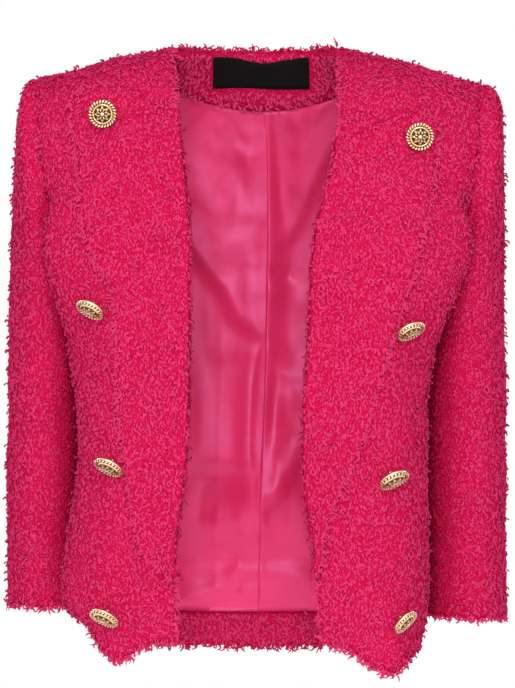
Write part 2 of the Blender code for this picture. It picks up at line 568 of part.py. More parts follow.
def body_walls():
    """Outer grids and normals of fronts, back and sleeves, their seam normals shared."""
    outer = {"front_left": front_grid("left"), "front_right": front_grid("right"),
             "back": back_grid(), "sleeve_left": sleeve_grid("left"),
             "sleeve_right": sleeve_grid("right")}
    for name in ("front_left", "front_right", "back"):
        wave_edge(name, outer[name])
    normal = {}
    for name, grid in outer.items():
        normal[name] = grid_normals(grid, name.startswith("sleeve"))
        inside = (0.0, 0.0, -0.25)
        if name.startswith("sleeve"):
            inside = grid[grid.shape[0] // 3].mean(axis=0)
        normal[name] = facing_out(grid, normal[name], inside)
    under = ROWS_BELOW
    for side in ("left", "right"):
        sign = SIGN[side]
        front, back, sleeve = normal["front_" + side], normal["back"], normal["sleeve_" + side]
        edge = 0 if side == "left" else -1
        for i in range(under):
            shared = unit(front[i, -1] + back[i, edge])
            front[i, -1] = back[i, edge] = shared
        for m in range(ROWS_ABOVE + 1):
            ahead, behind = ROWS_ABOVE - m, (ROWS_ABOVE + m) % SLEEVE_SEGMENTS
            i = under + m
            if m in (0, ROWS_ABOVE):
                shared = unit(front[i, -1] + back[i, edge] + 2 * sleeve[0, ahead])
                front[i, -1] = back[i, edge] = sleeve[0, ahead] = shared
            else:
                shared = unit(front[i, -1] + sleeve[0, ahead])
                front[i, -1] = sleeve[0, ahead] = shared
                shared = unit(back[i, edge] + sleeve[0, behind])
                back[i, edge] = sleeve[0, behind] = shared
        neck = outer["front_" + side][-1, 0]
        tip = outer["front_" + side][-1, -1]
        along = unit(tip - neck)
        up = unit(np.array((-along[2] * sign, 0.0, along[0] * sign)))
        front[-1, :-1] = up
        columns = range(0, BACK_COLUMNS + 1) if side == "left" else range(-BACK_COLUMNS - 1, 0)
        for j in list(columns):
            if j not in (0, -1):
                back[-1, j] = up
    # open the seams
    outer["back"][:, 0, 1] += SEAM / 2
    outer["back"][:, -1, 1] += SEAM / 2
    outer["back"][-1, :, 1] += SEAM / 2
    for side in ("left", "right"):
        outer["front_" + side][:, -1, 1] -= SEAM / 2
        outer["front_" + side][-1, :-1, 1] -= SEAM / 2
        sleeve = outer["sleeve_" + side]
        ring = np.roll(sleeve[0], -1, axis=0) - np.roll(sleeve[0], 1, axis=0)
        away = np.cross(normal["sleeve_" + side][0], ring)
        away /= np.linalg.norm(away, axis=1, keepdims=True)
        away *= np.sign((away * (sleeve[1] - sleeve[0])).sum(axis=1, keepdims=True))
        sleeve[0] += away * SEAM * 1.5
    return outer, normal


def build_body():
    """Build the five main walls and hand back their faces for the layers that lie on them."""
    outer, normal = body_walls()
    inner = {}
    for name, grid in outer.items():
        inner[name] = grid - normal[name] * TWEED
        close_wall(name, grid, inner[name], "tweed", name.startswith("sleeve"))
    return outer, inner, normal


# ---------------------------------------------------------------- lapels
def front_frame(side, u, v):
    """Point, unit normal and unit direction away from the opening, on the front's outer face."""
    e = 0.004
    sign = SIGN[side]
    u0, u1 = max(u - e, 0.0), min(u + e, 1.0)
    v0, v1 = max(v - e, 0.0), min(v + e, 2.0)
    flip = np.array((sign, 1.0, 1.0))
    point = front_point(side, u, v) * flip
    across = unit((front_point(side, u1, v) - front_point(side, u0, v)) * flip)
    along = (front_point(side, u, v1) - front_point(side, u, v0)) * flip
    normal = unit(np.cross(across, along)) * sign
    return point, normal, across


def front_place(side, x, z):
    """The (u, v) of the front's outer face that lies at outward distance x and height z."""
    u, v = 0.4, min(max((z + 0.521) / 0.316, 0.02), 1.9)
    for _ in range(24):
        here = front_point(side, u, v)
        e = 1e-3
        du = (front_point(side, min(u + e, 1), v) - front_point(side, max(u - e, 0), v))
        dv = (front_point(side, u, min(v + e, 2)) - front_point(side, u, max(v - e, 0)))
        spread_u = min(u + e, 1) - max(u - e, 0)
        spread_v = min(v + e, 2) - max(v - e, 0)
        a = np.array([[du[0] / spread_u, dv[0] / spread_v], [du[2] / spread_u, dv[2] / spread_v]])
        miss = np.array((x - here[0], z - here[2]))
        if np.abs(miss).max() < 1e-6:
            break
        step = np.linalg.solve(a + np.eye(2) * 1e-9, miss)
        u = min(max(u + min(max(step[0], -0.2), 0.2), 0.0), 1.0)
        v = min(max(v + min(max(step[1], -0.2), 0.2), 0.0), 2.0)
    return u, v


def lapel_grids(side, rows=22, columns=7):
    """Inner and outer faces of a turned-back lapel, from the front's own points moved out."""
    table = LAPEL[side]
    low, corner = table.key[0], LAPEL_TOP[side].key is not None and LAPEL_ROWS[side][-1][0]
    top_fold = LAPEL_TOP_ROWS[side][0][1]
    under, over = [], []
    for i in range(rows + 1):
        share = i / rows
        z_fold = low + (top_fold - low) * share
        blend = smooth(share, 0.80, 1.0)
        z_out = low + (corner - low) * share
        wide = table.at(z_out)["wide"]
        line_in, line_out = [], []
        fold_v = front_place(side, front_point(side, 0.0, 1.0)[0], z_fold)[1]
        for _ in range(6):
            miss = z_fold - front_point(side, 0.0, fold_v)[2]
            fold_v += miss / max((front_point(side, 0.0, min(fold_v + 0.01, 2))[2]
                                  - front_point(side, 0.0, fold_v)[2]) / 0.01, 0.05)
        point, normal, away = front_frame(side, 0.0, fold_v)
        roll = LAYER + LAPEL_ROLL
        for back, beyond in ((1.0, 0.0), (0.35, 0.0), (0.0, 0.45)):
            centre = point - normal * TWEED * back + normal * roll * beyond * 0.6
            side_in = LAPEL_EDGE * (1.0 if beyond == 0 else 0.75)
            side_out = (LAPEL_EDGE + TWEED) * (1.0 if beyond == 0 else 0.80)
            lift = TWEED * 0.75 if beyond else 0.0
            line_in.append(centre - away * side_in)
            line_out.append(centre - away * side_out + normal * lift)
        x_fold = abs(point[0]) - LAPEL_RECESS
        for j in range(columns + 1):
            s = j / columns
            x = x_fold + LAPEL_RECESS * (1 - s) + wide * s
            bulge = LAPEL_TOP[side].at(s)["z"] - (top_fold + (LAPEL_TOP_ROWS[side][-1][1] - top_fold) * s)
            z = z_fold + (z_out - z_fold) * s + bulge * blend
            if i == rows:
                z = LAPEL_TOP[side].at(s)["z"]
            else:
                z += (LAPEL_TOP_ROWS[side][-1][1] - corner) * s * blend
            if j == 0:
                u, v = 0.0, fold_v
            else:
                u, v = front_place(side, x, z)
            place, outward, _ = front_frame(side, u, v)
            gap = LAYER + LAPEL_ROLL * math.exp(-((x - x_fold) / LAPEL_ROLL_WIDTH) ** 2)
            line_in.append(place + outward * gap)
            line_out.append(place + outward * (gap + TWEED))
        under.append(line_in)
        over.append(line_out)
    return np.array(under), np.array(over)


def build_lapels(outer, normal):
    layers = {}
    for side in ("left", "right"):
        under, over = lapel_grids(side)
        away = (over - under) / np.maximum(np.linalg.norm(over - under, axis=2, keepdims=True), 1e-9)
        flat = slice(LAPEL_TURN, None)
        base = [(outer["front_" + side], normal["front_" + side])]
        seated = seat(under[:, flat], away[:, flat], base)
        over[:, flat] += seated - under[:, flat]
        under[:, flat] = seated
        close_wall("lapel_" + side, over, under, "tweed")
        layers[side] = (over[:, flat], away[:, flat])
    return layers


# ---------------------------------------------------------------- inside of the back
def back_frame(w, v):
    e = 0.004
    w0, w1 = max(w - e, -1.0), min(w + e, 1.0)
    v0, v1 = max(v - e, 0.0), min(v + e, 2.0)
    point = back_point(w, v)
    across = back_point(w1, v) - back_point(w0, v)
    along = back_point(w, v1) - back_point(w, v0)
    normal = unit(np.cross(along, across))
    return point, normal


def station_at(w, z):
    """Station of the back's face where it lies at height z on line w."""
    low, high = 0.0, 2.0
    for _ in range(40):
        middle = (low + high) / 2
        if back_point(w, middle)[2] < z:
            low = middle
        else:
            high = middle
    return (low + high) / 2


def neck_facing_edge(w):
    """Station of the neck facing's lower edge, lower at the centre."""
    return station_at(w, -0.0470 + 0.070 * w * w)


def lay_inside(name, places, depth, thick, bases, kind):
    """A closed layer on the inside of the back; returns its inner face and the way it looks."""
    near, away = [], []
    for line in places:
        frames = [back_frame(w, v) for w, v in line]
        near.append([point - normal * d for (point, normal), d in zip(frames, depth(line))])
        away.append([-normal for _, normal in frames])
    near, away = np.array(near), np.array(away)
    near = seat(near, away, bases)
    close_wall(name, near, near + away * thick, kind)
    return near + away * thick, away


def build_neck_facing(bases, rows=3, columns=18, reach=0.49):
    places = []
    for i in range(rows + 1):
        line = []
        for j in range(columns + 1):
            w = -reach + 2 * reach * j / columns
            low = neck_facing_edge(w)
            line.append((w, low + (NECK_FACING_TOP - low) * i / rows))
        places.append(line)
    return lay_inside("back_neck_facing", places, lambda line: [TWEED + LAYER] * len(line), FACING,
                      bases, "tweed")


def hem_facing_edge(w):
    return station_at(w, back_point(w, 0.0)[2] + HEM_FACING_TALL)


def build_hem_facing(bases, rows=2, columns=22, reach=0.93):
    places = []
    for i in range(rows + 1):
        line = []
        for j in range(columns + 1):
            w = -reach + 2 * reach * j / columns
            low = 0.004
            line.append((w, low + (hem_facing_edge(w) - low) * i / rows))
        places.append(line)
    return lay_inside("back_hem_facing", places, lambda line: [TWEED + LAYER] * len(line), FACING,
                      bases, "tweed")


def lining_top(w):
    """Station where the lining ends: at the neck facing, or just under the shoulder seam."""
    inner = neck_facing_edge(max(min(w, 0.505), -0.505))
    return inner + (1.93 - inner) * smooth(abs(w), 0.51, 0.60)


def build_lining(bases, rows=24):
    """Two satin halves; the left one's turned edge lies over the right one at the centre pleat."""
    spread = [0.10, 0.17, 0.25, 0.33, 0.42, 0.505, 0.54, 0.64, 0.74, 0.84]
    spans = {"lining_right": [-0.055, -0.01, 0.04] + spread,
             "lining_left": [-w for w in spread[::-1]] + [-0.062, -0.025, 0.016]}
    for name, columns in spans.items():
        places = []
        for i in range(rows + 1):
            line = []
            for w in columns:
                low, high = hem_facing_edge(w), lining_top(w)
                line.append((w, low + LINING_ROOM + (high - low - 2 * LINING_ROOM) * i / rows))
            places.append(line)

        def depth(line, name=name, places=places):
            share = places.index(line) / rows
            ends = smooth(share, 0.0, 0.10) * (1 - smooth(share, 0.92, 1.0))
            result = []
            for w, v in line:
                point = back_point(w, v)
                fold = ridge_height(LINING_RIDGES, point[0], point[2]) * ends
                fold *= 1 - smooth(abs(w), 0.55, 0.9)
                here = TWEED + LAYER + 0.0006 * ends + fold + 0.0015 * smooth(abs(w), 0.58, 0.80)
                if name == "lining_left":
                    here += PLEAT_STAND * smooth(w, -0.165, -0.062) * (0.55 + 0.45 * ends)
                else:
                    here -= fold * (1 - smooth(w, -0.02, 0.10))
                result.append(here)
            return result

        layer = lay_inside(name, places, depth, SATIN, bases, "satin")
        bases = bases + [layer]


def build_label(bases, rows=2, columns=8):
    places = []
    for i in range(rows + 1):
        line = []
        for j in range(columns + 1):
            x = LABEL_AT[0] - LABEL_WIDE / 2 + LABEL_WIDE * j / columns
            z = LABEL_AT[1] - LABEL_TALL / 2 + LABEL_TALL * i / rows + 0.0008 * math.sin(6 * j / columns)
            w = 0.0
            for _ in range(12):
                v = station_at(w, z)
                slope = (back_point(w + 0.01, v)[0] - back_point(w - 0.01, v)[0]) / 0.02
                w += (x - back_point(w, v)[0]) / slope
            line.append((w, station_at(w, z)))
        places.append(line)
    depth = TWEED + LAYER + FACING + LAYER
    lay_inside("neck_label", places, lambda line: [depth] * len(line), LABEL_THICK, bases, "label")


# ---------------------------------------------------------------- buttons
def build_button(name, row, lapels):
    """A domed button on a bent shank: one closed lofted body."""
    place = dict(zip(BUTTON_NAMES.split(), row))
    side = "left" if place["x"] < 0 else "right"
    u, v = front_place(side, abs(place["x"]), place["z"])
    foot, normal, _ = front_frame(side, u, v)
    if name.endswith("_1"):
        over, _ = lapels[side]
        verts, faces = sheet(over)
        hit = BVHTree.FromPolygons(verts, faces).ray_cast(Vector(foot + normal * 0.03), Vector(-normal))
        foot = np.array(hit[0])
    foot = foot + normal * (LAYER + FOOT_SINK)
    face = unit(np.array((place["nx"], place["ny"], place["nz"])))
    radius = BUTTON_ACROSS / 2
    tilt = math.sqrt(max(0.0, 1 - float(np.dot(face, normal)) ** 2))
    stand = radius * (tilt * 1.02 + 0.36 * float(np.dot(face, normal))) + 0.0016
    centre = foot + normal * stand + face * radius * 0.04 * tilt
    rings = [(foot, normal, 0.0024), (foot + normal * 0.0015, normal, 0.0018)]
    for reach, high in BUTTON_SECTION:
        rings.append((centre + face * radius * high, face, radius * reach))
    verts = []
    for middle, axis, size in rings:
        right = unit(np.cross(axis, np.array((0.0, 0.0, 1.0))))
        up = np.cross(right, axis)
        for k in range(BUTTON_SEGMENTS):
            angle = 2 * math.pi * k / BUTTON_SEGMENTS
            verts.append(tuple(middle + size * (math.cos(angle) * right + math.sin(angle) * up)))
    faces = []
    n = BUTTON_SEGMENTS
    for i in range(len(rings) - 1):
        for k in range(n):
            m = (k + 1) % n
            faces.append((i * n + k, i * n + m, (i + 1) * n + m, (i + 1) * n + k))
    faces.append(tuple(range(n))[::-1])
    tip = len(verts)
    verts.append(tuple(centre + face * radius * 0.34))
    last = (len(rings) - 1) * n
    for k in range(n):
        faces.append((last + k, last + (k + 1) % n, tip))
    make_object(name, verts, faces, "gold")


def main():
    for thing in list(bpy.data.objects):
        bpy.data.objects.remove(thing, do_unlink=True)
    outer, inner, normal = build_body()
    lapels = build_lapels(outer, normal)
    inside = [(inner["back"], -normal["back"])]
    facing = build_neck_facing(inside)
    build_hem_facing(inside)
    build_lining(inside)
    build_label([facing])
    for name, row in BUTTON_ROWS.items():
        build_button(name, row, lapels)


main()
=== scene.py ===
"""Cropped boucle tweed jacket: curled pile, raw edges, satin lining, bare neck label and gilt buttons.

Each cloth piece is made from the points of its own solid, so it fits where the solid lies.
"""
import math

import bpy
import numpy as np
from bpy.props import FloatProperty, FloatVectorProperty, IntProperty, PointerProperty
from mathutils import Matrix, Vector, noise
from mathutils.bvhtree import BVHTree


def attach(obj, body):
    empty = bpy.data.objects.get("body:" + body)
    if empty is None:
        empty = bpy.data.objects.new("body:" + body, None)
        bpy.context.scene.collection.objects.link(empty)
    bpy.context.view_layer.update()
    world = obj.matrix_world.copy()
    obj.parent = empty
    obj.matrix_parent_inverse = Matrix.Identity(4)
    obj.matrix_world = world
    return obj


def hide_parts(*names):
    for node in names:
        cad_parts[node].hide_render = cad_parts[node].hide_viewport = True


bl_info = {
    "name": "Boucle jacket",
    "version": (1, 0, 0),
    "blender": (4, 5, 0),
    "location": "View3D > Sidebar > Jacket",
    "description": "Dresses the jacket's solids as boucle tweed, satin and gilt metal",
    "category": "Object",
}

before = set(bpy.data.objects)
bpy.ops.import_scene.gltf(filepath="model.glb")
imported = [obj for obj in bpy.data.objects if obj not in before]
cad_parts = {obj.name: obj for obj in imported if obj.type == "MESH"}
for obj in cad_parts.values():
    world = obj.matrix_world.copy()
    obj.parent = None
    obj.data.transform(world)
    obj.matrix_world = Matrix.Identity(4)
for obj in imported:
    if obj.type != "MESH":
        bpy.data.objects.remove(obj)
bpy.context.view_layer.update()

# ---------------- short tables
# The tweed pieces: node, the way its seen side looks from the middle of the body (1 out, -1 in),
# how the cloth is held, and its cut: width, length and share of that rectangle.
TWEED = [
    ("back", 1, "hung", 0.47, 0.56, 0.92),
    ("front_left", 1, "hung", 0.21, 0.56, 0.80),
    ("front_right", 1, "hung", 0.21, 0.56, 0.80),
    ("lapel_left", 1, "folded", 0.11, 0.43, 0.80),
    ("lapel_right", 1, "folded", 0.11, 0.43, 0.76),
    ("sleeve_left", 1, "hung", 0.38, 0.48, 0.80),
    ("sleeve_right", 1, "hung", 0.38, 0.49, 0.76),
    ("back_neck_facing", -1, "laid", 0.26, 0.075, 0.70),
    ("back_hem_facing", -1, "laid", 0.34, 0.032, 0.96),
]

# Soft creases of the tweed, in millimetres: from (x0, z0) to (x1, z1), half width, height, and
# the way that side of the body looks: -1 front, 1 back, 0 both.
CREASES = {
    "front_left": [(-165, -255, -128, -300, 9, -1.6, -1),
                   (-150, -330, -120, -345, 8, 1.2, -1),
                   (-140, -395, -118, -520, 10, -1.6, -1)],
    "front_right": [(150, -262, 118, -300, 9, -1.6, -1),
                    (140, -335, 110, -355, 8, 1.2, -1),
                    (112, -400, 106, -520, 10, -1.6, -1)],
    "lapel_left": [(-90, -120, -100, -300, 14, 1, 0),
                   (-120, -90, -80, -70, 12, -1, 0)],
    "lapel_right": [(70, -140, 60, -330, 14, 1, 0),
                    (110, -110, 60, -100, 12, -1, 0)],
    "sleeve_left": [(-168, -245, -205, -275, 10, -2.2, 0),
                    (-172, -285, -215, -300, 11, 1.8, 0),
                    (-228, -330, -190, -352, 10, -1.8, 0),
                    (-226, -372, -184, -395, 12, 1.4, 0),
                    (-166, -420, -200, -445, 11, -1.4, 0)],
    "sleeve_right": [(156, -250, 192, -278, 10, -2.2, 0),
                     (158, -292, 205, -306, 11, 1.8, 0),
                     (214, -338, 178, -360, 10, -1.8, 0),
                     (213, -382, 172, -402, 12, 1.4, 0),
                     (154, -430, 190, -452, 11, -1.4, 0)],
    "back": [(-150, -215, -105, -275, 10, -2, 1),
             (145, -215, 100, -280, 10, -2, 1),
             (-120, -300, -80, -322, 10, 1.4, 1),
             (115, -305, 78, -330, 10, 1.4, 1),
             (-30, -360, -34, -520, 12, -1.4, 1),
             (34, -350, 30, -500, 12, -1.4, 1)],
}

# Folds of the satin, in millimetres: the half of the lining (-1 left, 1 right), the width to the
# left and right of the crest's way, its height (less than 0 for a trough), and its way (x, z).
SATIN_FOLDS = [
    # below the neck
    (-1, 11, 4, 2.2, [(-52.4, -37.7), (-29.1, -49.8), (-18.9, -69.3)]),
    (-1, 7, 7, 2, [(-38.4, -63.7), (-16.1, -91.6)]),
    (-1, 14, 8, 2.4, [(-45, -83), (-30, -90), (-18, -94)]),
    (1, 6, 11, 2.8, [(68.5, -34), (32.3, -60)]),
    (1, 6, 10, 2.2, [(50.9, -48.8), (34.1, -84.2)]),
    # the dip and the broad swag across the left half
    (-1, 12, 8, 1.6, [(-30, -137), (-12, -143), (0, -144)]),
    (-1, 12, 22, -2.4, [(-70, -138.1), (-40.3, -158.6), (1.6, -161.4)]),
    (-1, 50, 9, 10.5, [(-72, -160), (-56, -186), (-35, -211), (-22, -238), (-4, -250)]),
    (-1, 12, 16, -2, [(-46.8, -276), (-12, -270)]),
    # the broad swelling under it
    (-1, 60, 12, 11, [(-76, -364), (-50, -372), (-22, -373)]),
    (-1, 4, 9, 2.8, [(-2, -260), (-8, -280), (-11.8, -306), (-13, -335.3), (-13, -362), (-11, -380)]),
    # the right half: slanting fold, hollow and swag
    (1, 7, 20, 3.4, [(69.5, -65.6), (41.6, -121.4), (25, -160)]),
    (1, 7, 7, -3.4, [(13, -199), (21, -201)]),
    (1, 9, 11, 2.2, [(11, -214.4), (37.8, -223.7)]),
    (1, 16, 8, 4, [(6, -275), (25, -294), (50, -294)]),
    (1, 8, 8, 1.6, [(16, -270), (21, -333.4)]),
    # the big curved fold low on the right half
    (1, 10, 27, 9, [(48, -325), (36.9, -356.7), (15.5, -391.1), (-4.9, -423.6)]),
    (1, 12, 10, 1.4, [(30, -410), (42, -450)]),
    (1, 12, 50, 6, [(0, -406), (60, -402)]),
    # the swirl, the tuck and the hem
    (-1, 12, 6, 4.6, [(-42, -429), (-23, -432), (-11, -441), (-8.5, -454)]),
    (-1, 9, 6, -5, [(-33, -452), (-24, -460), (-12, -462)]),
    (-1, 12, 16, -3, [(-56, -400), (-20, -398)]),
    (-1, 3.5, 3.5, -1.6, [(-100, -465), (-10, -467)]),
    (1, 3.5, 3.5, -0.8, [(0, -466), (90, -464)]),
    (-1, 26, 7, 3.6, [(-100, -502), (0, -505)]),
    (-1, 8, 12, -3, [(-70, -488), (-42, -483), (-33, -474)]),
    (1, 26, 7, 1.6, [(0, -505), (90, -506)]),
    (-1, 12, 5, 4.6, [(-75, -503), (-48, -496), (-31, -485), (-24, -471.1)]),
    (-1, 5, 10, 2.6, [(-30, -502), (-5, -493)]),
    (1, 9, 5, 3.4, [(-4, -478.5), (25, -479), (47.1, -484.1)]),
    (1, 10, 6, 3, [(0, -496), (42, -493)]),
    # under the arms, out of sight from the front
    (-1, 14, 14, 2, [(-100, -120), (-110, -440)]),
    (-1, 10, 14, 1.4, [(-125, -200), (-118, -360)]),
    (1, 14, 14, 2, [(95, -120), (100, -450)]),
    (1, 12, 10, 1.4, [(118, -220), (112, -380)]),
]

# The pleat's free edge stands proud and rolls over onto the half under it: height on the body, how
# far the edge stands there, and how wide its roll is, in millimetres.
PLEAT = [(-540, 0, 6), (-460, 1, 6), (-420, 3, 6), (-380, 5.5, 7), (-320, 7, 7), (-280, 8.5, 10),
         (-240, 11, 13), (-200, 11, 15), (-150, 9, 10), (-100, 5.5, 7), (-60, 1.5, 5), (0, 0, 5)]

# The buttons: where the shank meets the cloth (x, z), in millimetres, and the way the face looks.
BUTTONS = {
    "button_left_1": ((-138, -69), (-0.10, -0.985, -0.14)),
    "button_right_1": ((133, -88.5), (0.10, -0.985, -0.14)),
    "button_left_2": ((-143, -235), (-0.42, -0.40, -0.81)),
    "button_right_2": ((120, -253), (0.38, -0.40, -0.83)),
    "button_left_3": ((-127.5, -371), (-0.40, -0.40, -0.82)),
    "button_right_3": ((108.5, -382), (0.38, -0.40, -0.83)),
    "button_left_4": ((-134.5, -499), (-0.38, -0.42, -0.82)),
    "button_right_4": ((116.5, -502.5), (0.66, -0.38, -0.65)),
}

# Half section of a button inside its rope rim, from the end of its shank round to the middle of its
# face: radius and height, both over the outer radius.
BUTTON_SECTION = [
    (0.0001, -0.6), (0.1, -0.6), (0.13, -0.56), (0.14, -0.36), (0.3, -0.3), (0.8, -0.26),
    (0.95, -0.14), (0.97, 0.00), (0.88, 0.02), (0.84, 0.02), (0.79, 0.03), (0.75, 0.05), (0.72, 0.1),
    (0.69, 0.15), (0.65, 0.155), (0.61, 0.135), (0.585, 0.165), (0.54, 0.21), (0.45, 0.265),
    (0.34, 0.3), (0.24, 0.31), (0.19, 0.275), (0.15, 0.29), (0.09, 0.335), (0.00, 0.33)]

# The studio's lights: name, place, width, height and watts. All of them look at the jacket's middle.
LIGHTS = [("key", (-0.15, -3.4, 1.15), 1.1, 1.9, 58.0), ("front", (0.1, -3.7, -0.35), 1.4, 1.4, 34.0),
          ("left", (-1.7, -2.6, 0.1), 1.4, 1.4, 11.0), ("right", (1.5, -2.9, 0.1), 1.4, 1.4, 12.0),
          ("top", (0.0, -0.9, 1.7), 1.6, 1.6, 14.0), ("back_left", (-1.8, 2.4, 0.9), 1.4, 1.4, 60.0),
          ("back_right", (1.8, 2.4, 0.9), 1.4, 1.4, 60.0)]
LIGHTS_AIM = (0.0, 0.0, -0.27)
WORLD_LIGHT = 0.48
FLOOR_HEIGHT = -0.95
SURROUND_RADIUS = 9.0
CAMERA_PLACE = (-0.0054, -2.7, -0.2646)
FOCAL_PIXELS, FRAME_PIXELS, SENSOR = 3000.0, 688.0, 36.0

CURLS_IN_A_PIECE = 16000  # at 12 triangles each, under the most that one piece may have
COVERED_AREA = 0.09  # tweed in square metres that lies under other cloth, which gets no curls
PILE_SEED, FRAY_SEED = 100, 300
SOFT_BEND = 66.0  # degrees: an edge that bends more parts one side of a solid from another

# How the pile lies: how far most curls part from straight down, the shares of curls that lie any
# way or stand loose, and the height at which a curl's painted light is palest.
PARTING = math.radians(26.0)
WILD, LOOSE = 0.12, 0.08
PAINTED_LIGHT_HEIGHT = 0.0026
SHANK_REACH = 0.006  # how far from a button's shank the pile still stands higher

SKINS = {}  # the skins made so far, by node


# ---------------- sizes and colours
def metres(name, description, default, least, most):
    return FloatProperty(name=name, description=description, default=default, min=least, max=most,
                         unit="LENGTH")


def tint(name, description, default):
    return FloatVectorProperty(name=name, description=description, default=default, min=0, max=1,
                               subtype="COLOR")


class JacketSizes(bpy.types.PropertyGroup):
    """Sizes of the pile, the raw edges and the cloth's relief"""
    curl_length: metres("Curl length", "Length of one curl of the pile", 0.0047, 0.002, 0.02)
    curl_radius: metres("Curl radius", "Half the thickness of a curl", 0.00096, 0.0002, 0.003)
    pile_height: metres("Pile height", "How far the curls stand off the cloth", 0.0013, 0.0005, 0.008)
    curl_count: IntProperty(name="Curls", description="Curls on the whole jacket", default=57500,
                            min=1000, max=60000)
    fray_length: metres("Fray length", "Length of the loose ends at raw edges", 0.0068, 0.001, 0.03)
    fray_spacing: metres("Fray spacing", "Space between two loose ends", 0.00090, 0.0004, 0.01)
    relief: metres("Relief", "Unevenness of the cloth under its pile", 0.0009, 0.0, 0.004)


class JacketColours(bpy.types.PropertyGroup):
    """Colours of the cloth, the buttons and the label"""
    tweed: tint("Tweed", "Colour of the curls", (0.582, 0.0275, 0.122))
    # painted light: the pale colour on the tops of the curls
    tweed_tip: tint("Tweed tips", "Colour of the palest curls", (0.586, 0.037, 0.136))
    # painted shade: the deep red low on the curls, where other cloth shuts them in, and in the ground's
    # gaps
    tweed_deep: tint("Tweed ground", "Colour between the curls", (0.522, 0.0048, 0.052))
    satin: tint("Satin", "Colour of the lining", (0.660, 0.0195, 0.108))
    gilt: tint("Gilt", "Colour of the buttons", (0.82, 0.61, 0.37))
    label: tint("Label", "Colour of the neck label", (0.0040, 0.0038, 0.0045))


# ---------------- shader maths
class Wire:
    """A socket with arithmetic: an expression on wires adds its Math nodes."""

    def __init__(self, finish, socket):
        self.finish, self.socket = finish, socket

    def math(self, operation, *values):
        return self.finish.node("ShaderNodeMath", {"operation": operation}, *values)

    def __add__(self, other):
        return self.math("ADD", self, other)

    def __sub__(self, other):
        return self.math("SUBTRACT", self, other)

    def __rsub__(self, other):
        return self.math("SUBTRACT", other, self)

    def __mul__(self, other):
        return self.math("MULTIPLY", self, other)

    __radd__ = __add__
    __rmul__ = __mul__

    def sine(self):
        return self.math("SINE", self)

    def between(self, low, high):
        """0 below low, 1 above high and smooth between."""
        smooth = {"interpolation_type": "SMOOTHSTEP"}
        return self.finish.node("ShaderNodeMapRange", smooth, self, low, high)


class Finish:
    """A material's nodes, ending in one Principled shader."""

    def __init__(self, name, colour, rough, metal=0.0, shine=0.5):
        self.material = bpy.data.materials.new(name)
        self.material.use_nodes = True
        self.material.diffuse_color = (*colour, 1.0)
        self.tree = self.material.node_tree
        self.shader = self.tree.nodes["Principled BSDF"]
        self.set("Base Color", colour)
        self.set("Roughness", rough)
        self.set("Metallic", metal)
        self.set("Specular IOR Level", shine)

    def put(self, socket, value):
        if isinstance(value, Wire):
            self.tree.links.new(value.socket, socket)
        elif socket.type == "RGBA":
            socket.default_value = (*value, 1.0)
        else:
            socket.default_value = value

    def set(self, name, value):
        self.put(self.shader.inputs[name], value)

    def node(self, kind, settings=None, *inputs, out=0, **named):
        """A new node's output `out`; `inputs` go by their places, None for one left alone."""
        made = self.tree.nodes.new(kind)
        for key, value in (settings or {}).items():
            setattr(made, key, value)
        for key, value in (*enumerate(inputs), *named.items()):
            if value is not None:
                self.put(made.inputs[key], value)
        return Wire(self, made.outputs[out])

    def place(self, stretch=(1.0, 1.0, 1.0)):
        """Places on the piece, in metres, stretched."""
        where = self.node("ShaderNodeTexCoord", out="Object")
        return self.node("ShaderNodeVectorMath", {"operation": "MULTIPLY"}, where, stretch)

    def noise(self, place, scale, detail=2.0, rough=0.5, twist=0.0):
        return self.node("ShaderNodeTexNoise", out="Fac", Vector=place, Scale=scale, Detail=detail,
                         Roughness=rough, Distortion=twist)

    def cells(self, place, scale):
        """How far a place is from the edges of the small cells there."""
        return self.node("ShaderNodeTexVoronoi", {"feature": "DISTANCE_TO_EDGE"}, out="Distance",
                         Vector=place, Scale=scale)

    def value(self, name):
        """A number kept on the mesh's points."""
        return self.node("ShaderNodeAttribute", {"attribute_name": name}, out="Fac")

    def mix(self, share, first, second):
        """A colour between two; the Mix node's inputs 6 and 7 and its output 2 are its colours."""
        return self.node("ShaderNodeMix", {"data_type": "RGBA"}, share, None, None, None, None, None,
                         first, second, out=2)

    def bump(self, height, depth):
        self.set("Normal", self.node("ShaderNodeBump", Strength=1.0, Distance=depth, Height=height))


def times(colour, *shares):
    return tuple(c * share for c, share in zip(colour, shares))


def tweed_ground(colours):
    """The woven ground between the curls: small upright tufts, with painted shade making it redder in the
    gaps.
    """
    made = Finish("tweed_ground", colours.tweed, 0.95, shine=0.0)
    streaks = made.noise(made.place((1.0, 1.0, 0.55)), 700.0, 3.0, 0.7, 0.6)
    tufts = made.cells(made.place((1.0, 1.0, 0.65)), 430.0).between(0.0, 0.30)
    patch = made.noise(made.place(), 70.0, 3.0, 0.55)
    light = tufts * 0.55 + (streaks - 0.5) * 1.3 + (patch - 0.5) * 0.6
    # painted shade: a deeper red in the gaps between the tufts
    gap_shade = times(colours.tweed_deep, 0.88, 0.88, 0.88)
    made.set("Base Color", made.mix(light.between(0.15, 0.70), gap_shade, colours.tweed))
    made.bump(streaks * 0.5 + tufts * 0.5, 0.0008)
    return made.material


def tweed_curl(colours):
    """The curls, each its own tone: redder low down (painted shade) and paler on top (painted light)."""
    made = Finish("tweed_curl", colours.tweed, 0.95, shine=0.0)
    rise, tone = made.value("rise"), made.value("tone")
    fibre = made.noise(made.place(), 950.0, 3.0, 0.7)
    # painted light and shade: the shaded, mid and lit colours mix by each point's painted light, its tone
    # and the fibre noise
    light = rise * 0.75 + (tone - 0.5) * 0.30 + (fibre - 0.5) * 1.1
    body = made.mix(light.between(-0.05, 0.45), colours.tweed_deep, colours.tweed)
    made.set("Base Color", made.mix(light.between(0.30, 1.0), body, colours.tweed_tip))
    made.bump(fibre, 0.0004)
    return made.material


